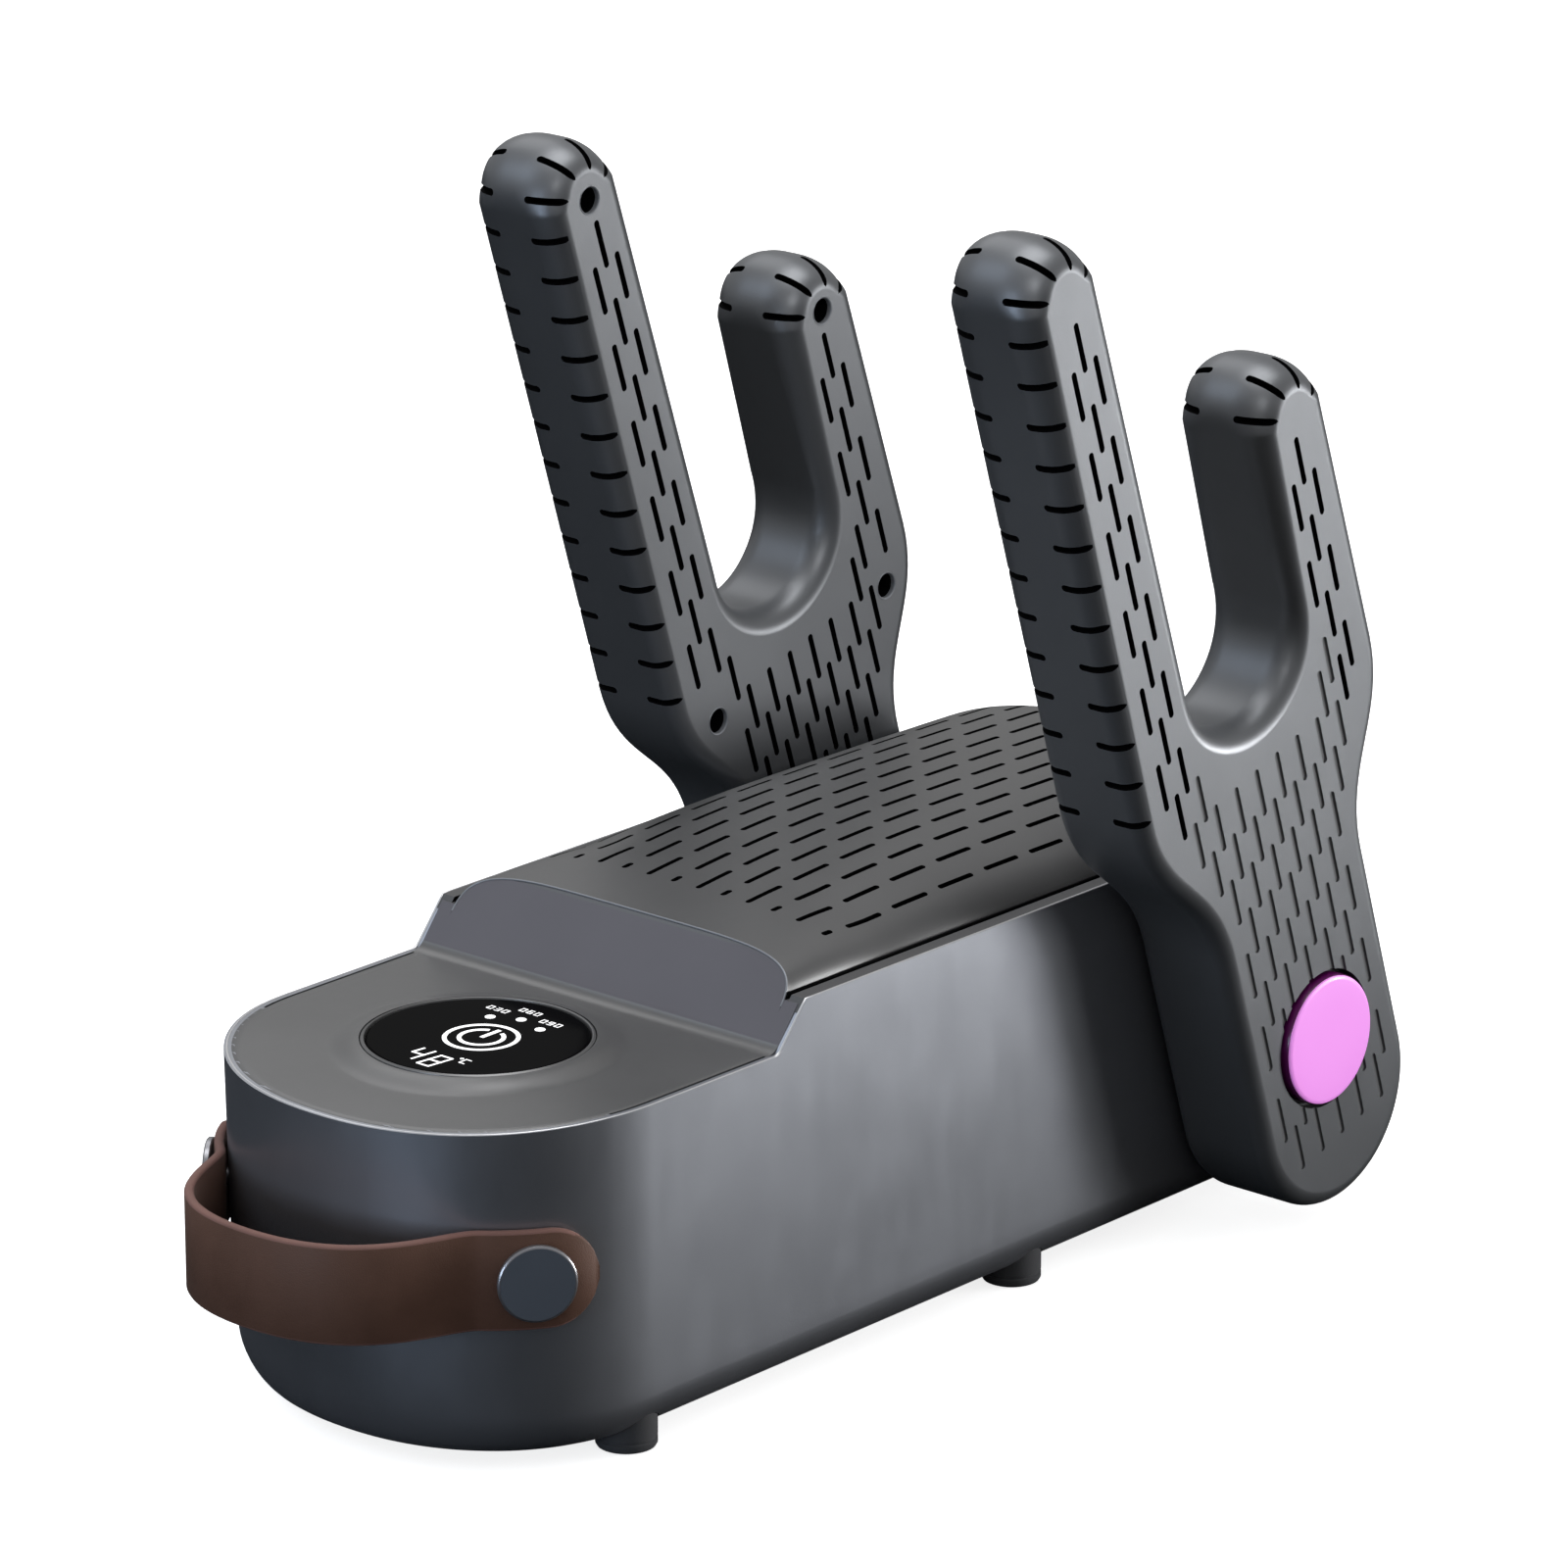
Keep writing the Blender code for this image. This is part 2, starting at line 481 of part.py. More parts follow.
def make_strap():
    """Band of even thickness along its middle line, with half-round ends."""
    line = [Vector((x, y, 0)) for x, y in strap_line()]
    length = [0.0]
    for a, b in zip(line, line[1:]):
        length.append(length[-1] + (b - a).length)
    half = STRAP_HEIGHT / 2
    rings = []
    for i, point in enumerate(line):
        before, after = line[max(0, i - 1)], line[min(len(line) - 1, i + 1)]
        out = (after - before).normalized().cross(Vector((0, 0, 1))) * -1
        past = max(0.0, 1 - min(length[i], length[-1] - length[i]) / half)
        tall = max(STRAP_END_HALF, half * math.sqrt(1 - past * past))
        rings.append([point + out * side * STRAP_THICK / 2 + Vector((0, 0, STRAP_Z + up * tall))
                      for side, up in ((1, 1), (1, -1), (-1, -1), (-1, 1))])
    strap = make("strap", loft(rings), "strap_leather", smooth=False)
    hole = rod(STUD_RADIUS + GAP, -0.01, 0.01, 12)
    carve(strap, joined(*[moved(hole, rivet_matrix(side)) for side in (1, -1)]))


def make_rivets():
    """Flat-headed rivets outside the band, each closed by a washer inside the wall."""
    base = STRAP_THICK + 4 * GAP
    top = base + RIVET_THICK
    rivet = [(STUD_RADIUS, -STUD_LENGTH), (STUD_RADIUS, base), (RIVET_RADIUS, base),
             (RIVET_RADIUS, top - RIVET_EDGE), (RIVET_RADIUS - RIVET_EDGE, top)]
    bore = STUD_RADIUS + GAP
    washer = [(bore, WASHER_LOW), (WASHER_RADIUS, WASHER_LOW), (WASHER_RADIUS, WASHER_HIGH),
              (bore, WASHER_HIGH)]
    for name, side in (("right", 1), ("left", -1)):
        make(f"strap_rivet_{name}", moved(turned(rivet), rivet_matrix(side)), "rivet_metal")
        make(f"rivet_washer_{name}", moved(turned_ring(washer, 16), rivet_matrix(side)), "steel")


# ---------------------------------------------------------------- blower, heater, duct, power

def box_tube(x, y0, y1, wall):
    """Open-ended rectangular duct along Y, centred on the pivot's height: outer box and its bore."""
    height = DUCT_HALF_HEIGHT
    outer = block((-x, y0, PIVOT_Z - height), (x, y1, PIVOT_Z + height))
    bore = block((-x + wall, y0 - 0.01, PIVOT_Z - height + wall),
                 (x - wall, y1 + 0.01, PIVOT_Z + height - wall))
    return outer, bore


def make_blower():
    """Centrifugal fan: air enters by the eye underneath and leaves along +Y."""
    centre, inner = at(0, FAN_Y), FAN_RADIUS - FAN_WALL
    housing = make("fan_housing", moved(rod(FAN_RADIUS, FAN_LOW, FAN_HIGH, 28), centre), "black_plastic")
    outer, bore = box_tube(DUCT_HALF_WIDTH, FAN_Y + 0.010, HEATER_FRONT - GAP, FAN_WALL)
    carve(housing, outer, "UNION")
    scroll = [(FAN_EYE, 0), (FAN_EYE, FAN_LOW + 0.001), (inner, FAN_LOW + FAN_WALL),
              (inner, FAN_HIGH - FAN_WALL)]
    carve(housing, moved(turned(scroll, 28), centre))
    carve(housing, bore)
    carve(housing, moved(rod(MOTOR_NECK + GAP, MOTOR_LOW, ABOVE, 20), centre))
    shoulder, bore = FAN_HIGH - FAN_WALL - GAP, SHAFT_RADIUS + SHAFT_FIT
    motor = [(MOTOR_RADIUS, MOTOR_LOW), (MOTOR_RADIUS, shoulder), (MOTOR_NECK, shoulder),
             (MOTOR_NECK, FAN_HIGH + 0.004), (bore, FAN_HIGH + 0.004), (bore, MOTOR_LOW)]
    make("fan_motor", moved(turned_ring(motor), centre), "steel")
    impeller = make("fan_impeller", moved(prism(star_outline(), IMPELLER_LOW, IMPELLER_HIGH), centre),
                    "black_plastic", smooth=False)
    carve(impeller, moved(rod(SHAFT_RADIUS, IMPELLER_HIGH - 0.004, FAN_HIGH + 0.003), centre), "UNION")


def star_outline():
    """Impeller in plan: straight blades round a hub."""
    outline = []
    for i in range(BLADES):
        for radius, offset in ((IMPELLER_HUB, -0.31), (IMPELLER_RADIUS, -0.03), (IMPELLER_RADIUS, 0.03),
                               (IMPELLER_HUB, 0.31)):
            angle = 2 * math.pi * (i + offset) / BLADES
            outline.append((radius * math.cos(angle), radius * math.sin(angle)))
    return outline


def make_heater():
    outer, bore = box_tube(DUCT_HALF_WIDTH, HEATER_FRONT, HEATER_REAR - GAP, HEATER_WALL)
    frame = make("heater_frame", outer, "steel", smooth=False)
    carve(frame, bore)
    half_x, half_z = (half - HEATER_WALL - GAP for half in (DUCT_HALF_WIDTH, DUCT_HALF_HEIGHT))
    element = block((-half_x, HEATER_FRONT + HEATER_MARGIN, PIVOT_Z - half_z),
                    (half_x, HEATER_REAR - HEATER_MARGIN, PIVOT_Z + half_z))
    element = make("heater_element", element, "heater_ceramic", smooth=False)
    cells = []
    for i in range(CELLS):
        x = (i - (CELLS - 1) / 2) * CELL_PITCH
        for z in (PIVOT_Z - CELL_RISE, PIVOT_Z + CELL_RISE):
            cells.append(block((x - CELL_HALF_WIDTH, HEATER_FRONT, z - CELL_HALF_HEIGHT),
                               (x + CELL_HALF_WIDTH, HEATER_REAR, z + CELL_HALF_HEIGHT)))
    carve(element, joined(*cells))


def make_duct():
    """Square duct behind the heater, opening into a cross tube between the two hinges."""
    across_pivot = at(0, PIVOT_Y, PIVOT_Z) @ along_x(1)
    duct = make("air_duct", moved(rod(DUCT_RADIUS, -DUCT_END, DUCT_END), across_pivot), "black_plastic")
    outer, bore = box_tube(DUCT_HALF_WIDTH, HEATER_REAR, PIVOT_Y, FAN_WALL)
    carve(duct, outer, "UNION")
    carve(duct, moved(rod(DUCT_RADIUS - FAN_WALL, -REACH, REACH), across_pivot))
    half_x, half_z = DUCT_HALF_WIDTH - FAN_WALL, DUCT_HALF_HEIGHT - FAN_WALL
    carve(duct, block((-half_x, HEATER_FRONT, PIVOT_Z - half_z),
                      (half_x, PIVOT_Y + GAP, PIVOT_Z + half_z)))


def make_power():
    half_x, half_z = INLET_HALF_WIDTH, INLET_HALF_HEIGHT
    rear = REAR_START + REAR_DEPTH - 2 * GAP
    inlet = block((-half_x, rear - INLET_LENGTH, INLET_Z - half_z), (half_x, rear, INLET_Z + half_z))
    inlet = make("power_inlet", inlet, "black_plastic", smooth=False)
    socket_x, socket_z = half_x - INLET_WALL, half_z - INLET_WALL
    carve(inlet, block((-socket_x, rear - SOCKET_DEPTH, INLET_Z - socket_z),
                       (socket_x, REACH, INLET_Z + socket_z)))
    rearwards = Matrix.Rotation(-math.pi / 2, 4, "X")
    for name, side in (("right", 1), ("left", -1)):
        place = at(side * PIN_X, rear - SOCKET_DEPTH + GAP, INLET_Z) @ rearwards
        make(f"inlet_pin_{name}", moved(rod(PIN_RADIUS, 0, PIN_LENGTH, 12), place), "steel")
    board = block((-BOARD_HALF_WIDTH, BOARD_FRONT, BOARD_Z),
                  (BOARD_HALF_WIDTH, BOARD_REAR, BOARD_Z + BOARD_THICK))
    make("power_board", board, "circuit_board", smooth=False)


# ---------------------------------------------------------------- hinge and arms

def make_hinge_bush(side, name):
    """Fixed ring in the body's wall, and the friction washer behind it."""
    place = at(0, PIVOT_Y, PIVOT_Z) @ along_x(side)
    bore, face, wall = TUBE_RADIUS + HINGE_FIT, ARM_INNER - BUSH_EDGE, HALF_WIDTH + GAP
    bush = [(bore, BUSH_START), (BUSH_NECK, BUSH_START), (BUSH_NECK, wall), (BUSH_RADIUS, wall),
            (BUSH_RADIUS, face - BUSH_EDGE), (BUSH_RADIUS - BUSH_EDGE, face), (bore, face)]
    make(f"hinge_bush_{name}", moved(turned_ring(bush), place), "black_plastic")
    low, high = BUSH_START - 0.001, BUSH_START - GAP
    washer = [(bore, low), (TUBE_FLANGE, low), (TUBE_FLANGE, high), (bore, high)]
    make(f"friction_washer_{name}", moved(turned_ring(washer), place), "steel")


def fork_outline():
    """Side view of an arm in its own (back, up) axes: a stem, two shoulders and two prongs."""
    def arc(cx, cy, radius, first, last, steps):
        angles = [math.radians(first + (last - first) * i / steps) for i in range(steps + 1)]
        return [(cx + radius * math.cos(a), cy + radius * math.sin(a)) for a in angles]

    low, high = SHOULDER_LOW, SHOULDER_HIGH
    shoulder = list(bezier((STEM_HALF, low), (STEM_HALF, low + SHOULDER_EASE),
                           (FORK_HALF, high - SHOULDER_EASE), (FORK_HALF, high), 5))
    prong = FORK_HALF - PRONG_RADIUS
    outline = arc(0, STEM_END, STEM_HALF, 180, 360, 14)
    outline += [(STEM_HALF, low)] + shoulder
    outline += arc(prong, SHORT_END, PRONG_RADIUS, 0, 180, 8)
    outline += arc(0, GAP_CENTRE, GAP_RADIUS, 360, 180, 9)
    outline += arc(-prong, LONG_END, PRONG_RADIUS, 0, 180, 8)
    outline += [(-x, y) for x, y in reversed(shoulder)] + [(-STEM_HALF, low)]
    return outline


def inset_outline(outline, inset):
    """Moves every side of a closed counter-clockwise outline inwards by the same amount."""
    moved_points = []
    for i, here in enumerate(outline):
        here = Vector(here)
        before, after = Vector(outline[i - 1]), Vector(outline[(i + 1) % len(outline)])
        first, second = (here - before).normalized(), (after - here).normalized()
        inward = (Vector((-first.y, first.x)) + Vector((-second.y, second.x))).normalized()
        reach = inset / max(0.5, inward.dot(Vector((-first.y, first.x))))
        moved_points.append(here + inward * reach)
    return moved_points


def arm_half(side, outward):
    """Half an arm as a tray: rim at the middle plane, rounded outer edge, hollow inside."""
    middle, half = (ARM_INNER + ARM_OUTER) / 2, (ARM_OUTER - ARM_INNER) / 2
    outline = fork_outline()
    levels = [(ARM_WALL, GAP / 2), (0.0, GAP / 2)]
    for i in range(4):
        angle = math.radians(90 * i / 3)
        levels.append((ARM_EDGE * (1 - math.cos(angle)), half - ARM_EDGE + ARM_EDGE * math.sin(angle)))
    bevel = ARM_EDGE - ARM_WALL
    cavity = [(ARM_WALL, half - ARM_EDGE), (ARM_WALL + 0.4 * bevel, half - ARM_WALL - 0.4 * bevel),
              (ARM_EDGE + 0.001, half - ARM_WALL)]

    def ring(inset, height):
        x = side * (middle + outward * height)
        return [(x, back, up) for back, up in inset_outline(outline, inset)]

    return loft([ring(*level) for level in cavity[::-1] + levels])


def screw_copies(radius, low, high, steps, middle):
    """Rods along X at the four screws, in the arm's own frame."""
    return joined(*[moved(rod(radius, low, high, steps), middle(back, up)) for back, up in ARM_SCREWS])


def make_arm(side, name):
    """Two half shells screwed together, on a hollow tube that turns in the body."""
    pivot = bpy.data.objects.new(f"arm_pivot_{name}", None)
    bpy.context.scene.collection.objects.link(pivot)
    pivot.location = (0, PIVOT_Y, PIVOT_Z)
    pivot.rotation_euler = (LEAN, 0, 0)
    half = (ARM_OUTER - ARM_INNER) / 2

    def middle(back, up):
        return at(0, back, up) @ along_x(side, ARM_INNER + half)

    outer = make(f"arm_outer_shell_{name}", arm_half(side, 1), "arm_plastic", pivot)
    carve(outer, screw_copies(POST, -0.0060, half - ARM_WALL / 2, 10, middle), "UNION")
    cap_hole = moved(rod(CAP_HOLE, half / 2, half + ARM_WALL), middle(0, 0))
    carve(outer, joined(screw_copies(SCREW_BORE, -0.0070, 0.0090, 8, middle), cap_hole))

    inner = make(f"arm_inner_shell_{name}", arm_half(side, -1), "arm_plastic", pivot)
    tube_hole = moved(rod(TUBE_RADIUS + GAP, -half - ARM_WALL, -half / 2), middle(0, 0))
    carve(inner, joined(screw_copies(SCREW_HOLE, -half - ARM_WALL, -half / 2, 12, middle), tube_hole))

    screw = [(SCREW_HEAD, -0.0090), (SCREW_HEAD, -0.0063), (SCREW_SHANK, -0.0063), (SCREW_SHANK, 0.0070)]
    for number, (back, up) in enumerate(ARM_SCREWS, 1):
        make(f"arm_screw_{name}_{number}", moved(turned(screw, 8), middle(back, up)), "steel", pivot)
    make_hinge_tube(side, name, pivot)
    make_pivot_cap(side, name, pivot)


def make_hinge_tube(side, name, pivot):
    """Flanged inside the body's wall and again inside the arm's."""
    skin = ARM_INNER + ARM_WALL + 0.0004
    ring, bore, flange = TUBE_RADIUS, TUBE_BORE, TUBE_FLANGE
    tube = [(bore, TUBE_START), (flange, TUBE_START), (flange, TUBE_START + 0.0025),
            (ring, TUBE_START + 0.0025), (ring, skin), (flange, skin), (flange, skin + 0.002),
            (ring, skin + 0.002), (ring, TUBE_END), (bore, TUBE_END)]
    make(f"hinge_tube_{name}", moved(turned_ring(tube), along_x(side)), "black_plastic", pivot)


def make_pivot_cap(side, name, pivot):
    """Coloured disc in the arm's outer face, on the seat ring behind it."""
    edge, rim, bore = ARM_OUTER + CAP_RISE, CAP_HOLE - 0.0004, CAP_STUD + GAP
    seat = [(bore, SEAT_LOW), (rim, SEAT_LOW), (rim, SEAT_HIGH), (bore, SEAT_HIGH)]
    make(f"cap_seat_{name}", moved(turned_ring(seat), along_x(side)), "black_plastic", pivot)
    cap = [(CAP_STUD, SEAT_LOW - 0.0035), (CAP_STUD, SEAT_HIGH + GAP), (CAP_RADIUS, SEAT_HIGH + GAP),
           (CAP_RADIUS, edge - 0.0012), (CAP_RADIUS - 0.0004, edge - 0.0004), (CAP_RADIUS - 0.0012, edge)]
    make(f"pivot_cap_{name}", moved(turned(cap, 36), along_x(side)), "pink_cap", pivot)


def main():
    for obj in list(bpy.data.objects):
        bpy.data.objects.remove(obj)
    make_body_shell()
    make_control_deck()
    make_top_grille()
    make_display()
    make_base()
    make_strap()
    make_rivets()
    make_blower()
    make_heater()
    make_duct()
    make_power()
    for side, name in ((1, "right"), (-1, "left")):
        make_hinge_bush(side, name)
        make_arm(side, name)


main()
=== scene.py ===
"""Boot dryer, visual layer: detailed pieces, materials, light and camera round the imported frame."""
import json
from math import acos, atan2, copysign, cos, hypot, pi, radians, sin, sqrt, tan

import bmesh
import bpy
from mathutils import Matrix, Vector

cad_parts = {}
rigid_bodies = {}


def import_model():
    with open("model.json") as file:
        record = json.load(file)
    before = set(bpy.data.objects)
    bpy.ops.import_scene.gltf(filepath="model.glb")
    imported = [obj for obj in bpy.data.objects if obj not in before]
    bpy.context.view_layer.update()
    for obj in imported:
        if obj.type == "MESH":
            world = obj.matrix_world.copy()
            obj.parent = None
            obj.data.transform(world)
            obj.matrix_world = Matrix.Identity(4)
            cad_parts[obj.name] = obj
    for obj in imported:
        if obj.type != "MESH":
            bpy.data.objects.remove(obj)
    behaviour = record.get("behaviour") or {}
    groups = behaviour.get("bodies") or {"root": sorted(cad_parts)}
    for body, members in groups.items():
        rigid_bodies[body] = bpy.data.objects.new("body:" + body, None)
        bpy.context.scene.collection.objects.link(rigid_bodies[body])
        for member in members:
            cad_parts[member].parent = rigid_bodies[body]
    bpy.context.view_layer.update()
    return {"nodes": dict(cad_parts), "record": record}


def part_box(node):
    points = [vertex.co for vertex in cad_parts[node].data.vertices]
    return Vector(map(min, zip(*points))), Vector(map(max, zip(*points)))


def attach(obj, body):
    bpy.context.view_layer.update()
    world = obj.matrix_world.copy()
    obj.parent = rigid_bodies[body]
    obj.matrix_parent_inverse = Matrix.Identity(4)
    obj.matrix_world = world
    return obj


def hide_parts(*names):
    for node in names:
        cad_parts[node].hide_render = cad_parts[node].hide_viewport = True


for obj in list(bpy.data.objects):
    bpy.data.objects.remove(obj)
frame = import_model()


def low(node):
    return Vector(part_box(node)[0])


def high(node):
    return Vector(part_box(node)[1])


def middle(node):
    return (low(node) + high(node)) / 2


# --- sizes, from the frame where it gives them
HALF_WIDTH, BODY_BOTTOM, RAIL_TOP = high("body_shell").x, low("body_shell").z, high("body_shell").z
FRONT_START, FRONT_POWER = -0.091, 2.17
FRONT_DEPTH = FRONT_START - low("body_shell").y
REAR_START, REAR_POWER = 0.1395, 2.8
REAR_DEPTH = high("body_shell").y - REAR_START
DECK_TOP, WALL, FLOOR_TOP, FILLET = 0.088, 0.0025, 0.0105, 0.0107
FRONT_FILLET, FRONT_FILLET_HEIGHT, FRONT_DRAFT = 0.0057, 0.040, 0.0029
WALL_RISES, CASING_TOP = (0.014, 0.019, 0.026, 0.034, 0.040, 0.055, 0.070), 0.100
INSIDE_HEIGHTS = (FLOOR_TOP, 0.014, 0.020, 0.030, 0.0445, 0.060, 0.080)
SLOPE_FOOT, RAMP_TOP, CREST_Y, CREST_Z = -0.0465, -0.0366, high("control_deck").y, high("control_deck").z
DROOP, DROOP_FROM, DROOP_LENGTH = 0.0019, -0.1035, 0.039
RIM, GAP, FOOT_BEND = 0.0012, 0.0003, 0.0027
CROWN_BASE, CROWN_TOP, CROWN_PEAK, FALL_AHEAD, FALL_BEHIND = 0.092, high("top_grille").z, 0.0605, 0.72, 0.15
CREST_POWER, CROWN_POWER, CREST_BLEND, REAR_CLOSE = 5.0, 2.9, 0.032, 5.0
CROWN_INSET, CROWN_WALL, GUTTER_TOP, NOTCH_TOP = 0.0057, 0.0022, 0.0955, 0.0985
RAIL_INSET, RAIL_INNER, RAIL_PROUD = 0.0007, 0.0045, 0.00006
DISPLAY = middle("display_lens")
LENS_RADIUS, COLLAR_RADIUS, COLLAR_RISE = high("display_lens").x, 0.0365, 0.0021
FEET = [f"foot_{end}_{side}" for end in ("front", "rear") for side in ("left", "right")]
FOOT_RADIUS, FOOT_TOP = (high(FEET[1]).x - low(FEET[1]).x) / 2, high(FEET[1]).z
STRAP_Z, STRAP_HALF = middle("strap").z, (high("strap").z - low("strap").z) / 2
STRAP_FRONT, STRAP_TIP, STRAP_LEAVES = low("strap").y, -0.1094, -0.1325
STRAP_SPREAD, STRAP_THICK = 0.0365, 0.0024
RIVET_Y, RIVET_RADIUS, RIVET_TOP = -0.1221, 0.0095, 0.0053
PIVOT = middle("pivot_cap_right")
LEAN = radians(18)
ARM_INNER, ARM_OUTER = low("arm_inner_shell_right").x, high("arm_outer_shell_right").x
ARM_HALF, ARM_MIDDLE = (ARM_OUTER - ARM_INNER) / 2, (ARM_OUTER + ARM_INNER) / 2
ARM_EDGE, TIP_EDGE, TIP_START, TIP_BLEND = 0.0044, 0.0074, 0.0020, 0.007
STEM_HALF, STEM_END, FORK_HALF, PRONG_RADIUS = 0.0298, -0.0172, 0.0485, 0.0136
GAP_RADIUS, GAP_CENTRE, LONG_END, SHORT_END = 0.0213, 0.117, 0.2343, 0.1626
DOME_CENTRES = ((PRONG_RADIUS - FORK_HALF, LONG_END), (FORK_HALF - PRONG_RADIUS, SHORT_END))
SHOULDER_LOW, SHOULDER_HIGH, SHOULDER_EASE = 0.040, 0.092, 0.024
ARM_SCREWS = ((-0.0347, 0.2335), (0.0347, 0.1635), (-0.0347, 0.0805), (0.0347, 0.0805))
SCREW_HOLE, TUBE_RADIUS, CAP_RADIUS, CAP_HOLE = 0.0035, 0.015, 0.0169, 0.0181
CAP_PROUD, CAP_SUNK, OVERSHOOT, SCREW_DEPTH, TUBE_STOP = 0.002, 0.0035, 0.002, 0.007, -0.004
CAP_CLEAR, TUBE_CLEAR, SCREW_CLEAR_V, SCREW_CLEAR_U = 0.002, 0.008, 0.0052, 0.0100
# Slots: the arms' side pattern, the cross slots of their edges, and the cover's dashes
SLOT_LENGTH, SLOT_WIDTH, SLOT_PITCH, COLUMN_PITCH, FIRST_COLUMN = 0.0134, 0.0018, 0.0221, 0.00422, -0.0385
SLOT_DEPTH, GROOVE_DEPTH, SLOT_MARGIN, SLOT_TOPS = 0.0030, 0.0005, 0.0072, (0.2165, 0.2276)
SHIFT_ABOVE, SLOT_SHIFT = 0.100, 0.0035
# Heights above which the outer slots are deep: near the front edge, ahead, near the rear edge, behind
DEEP_FRONT_EDGE, DEEP_FRONT, DEEP_REAR_EDGE, DEEP_REAR = 0.086, 0.104, 0.078, 0.110
CROSS_PITCH, CROSS_ROWS, CROSS_TOP, CROSS_INNER, CROSS_OUTER = 0.0112, 14, 0.2391, 0.0052, 0.0142
CROSS_DEPTH, DOME_DEPTH, DOME_ANGLES = 0.0042, 0.0066, (20.7, 67.9, 115.1, 162.3)
DASH_ROWS, DASH_SPACING, DASH_START, DASH_END = 12, 0.0081, -0.0135, 0.156
DASH_DEPTH, DASH_ABOVE = 0.0045, 0.0035
DASH_LENGTH, SHORT_DASH, DASH_PITCH, DASH_WIDTH, DASH_NARROWING = 0.0129, 0.0036, 0.0174, 0.0016, 1.6
BUSH_NECK, SEAM, BEAD, CREST_BEAD = 0.0174, 0.0002, 0.00038, 0.00028
PRINT_SUNK, PRINT_PROUD, REACH = 5e-5, 8e-5, 0.3
AIM = (0.0, 0.03, 0.12)
SIDES = ((1, "right"), (-1, "left"))


# --- solids as (points, faces)

def loft(rings, wrap=False):
    """Skin over rings of equal length, capped at both ends or, with wrap, joined end to start."""
    count, steps = len(rings[0]), len(rings)
    points = [Vector(point) for ring in rings for point in ring]
    faces = []
    for step in range(steps if wrap else steps - 1):
        a, b = step * count, (step + 1) % steps * count
        for i in range(count):
            j = (i + 1) % count
            faces.append((a + i, a + j, b + j, b + i))
    if not wrap:
        faces.append(tuple(range(count)))
        faces.append(tuple(range(len(points) - count, len(points))))
    return points, faces


def prism(outline, z0, z1):
    return loft([[(x, y, z) for x, y in outline] for z in (z0, z1)])


def turned(profile, steps=96, wrap=False):
    """Solid turned from (radius, z) pairs. With wrap, the profile closes into a ring."""
    turns = [2 * pi / steps * i for i in range(steps)]
    return loft([[(radius * cos(t), radius * sin(t), z) for t in turns] for radius, z in profile], wrap)


def rod(radius, z0, z1, steps=64):
    return turned([(radius, z0), (radius, z1)], steps)


def block(corner, opposite):
    (x0, y0, z0), (x1, y1, z1) = corner, opposite
    return prism([(x0, y0), (x1, y0), (x1, y1), (x0, y1)], z0, z1)


def moved(solid, matrix):
    return [matrix @ point for point in solid[0]], solid[1]


def joined(solids):
    points, faces = [], []
    for more_points, more_faces in solids:
        faces += [tuple(i + len(points) for i in face) for face in more_faces]
        points += more_points
    return points, faces


def at(x, y, z=0.0):
    return Matrix.Translation((x, y, z))


def smooth(value):
    """Soft step from 0 to 1."""
    part = min(1.0, max(0.0, value))
    return part * part * (3 - 2 * part)


def along_x(side):
    """Turns +Z outwards, towards the side's own X direction."""
    return Matrix.Rotation(side * pi / 2, 4, "Y")


def arc(cx, cy, radius, first, last, steps):
    angles = [radians(first + (last - first) * i / steps) for i in range(steps + 1)]
    return [(cx + radius * cos(a), cy + radius * sin(a)) for a in angles]


def stadium(length, width, steps=6):
    """Slot outline along +Y with round ends, centred on the origin."""
    half, radius = length / 2 - width / 2, width / 2
    return arc(0, half, radius, 0, 180, steps) + arc(0, -half, radius, 180, 360, steps)


# --- objects

def make(name, solid, *materials, sharp=35):
    mesh = bpy.data.meshes.new(name)
    mesh.from_pydata(solid[0], [], solid[1])
    work = bmesh.new()
    work.from_mesh(mesh)
    bmesh.ops.recalc_face_normals(work, faces=work.faces)
    work.to_mesh(mesh)
    work.free()
    obj = bpy.data.objects.new(name, mesh)
    bpy.context.scene.collection.objects.link(obj)
    for material in materials:
        mesh.materials.append(material)
    shade(obj, sharp)
    return obj


def shade(obj, sharp=35):
    obj.data.shade_smooth()
    obj.data.set_sharp_from_angle(angle=radians(sharp))


def carve(obj, solid, material=None, operation="DIFFERENCE"):
    """Boolean of obj with a solid, applied at once. The cut faces take the material."""
    helper = make("tool", solid, material or obj.data.materials[0])
    helper.hide_render = True
    step = obj.modifiers.new("cut", "BOOLEAN")
    step.operation, step.solver, step.object = operation, "EXACT", helper
    step.material_mode = "TRANSFER"
    graph = bpy.context.evaluated_depsgraph_get()
    source = obj.evaluated_get(graph)
    mesh = bpy.data.meshes.new_from_object(source, preserve_all_data_layers=True, depsgraph=graph)
    obj.modifiers.clear()
    obj.data = mesh
    bpy.data.objects.remove(helper)
    shade(obj)


def weigh(obj):
    """Keeps flat faces flat beside their rounded edges."""
    step = obj.modifiers.new("normals", "WEIGHTED_NORMAL")
    step.keep_sharp = True
    step.weight = 80
    return obj


def place(obj, body, slot, *nodes):
    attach(obj, body)
    if nodes:
        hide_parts(*nodes)


def piece(name, solid, material, body, slot, *nodes, sharp=35):
    """Makes a piece of one material and places it."""
    place(make(name, solid, material, sharp=sharp), body, slot, *nodes)


# --- materials

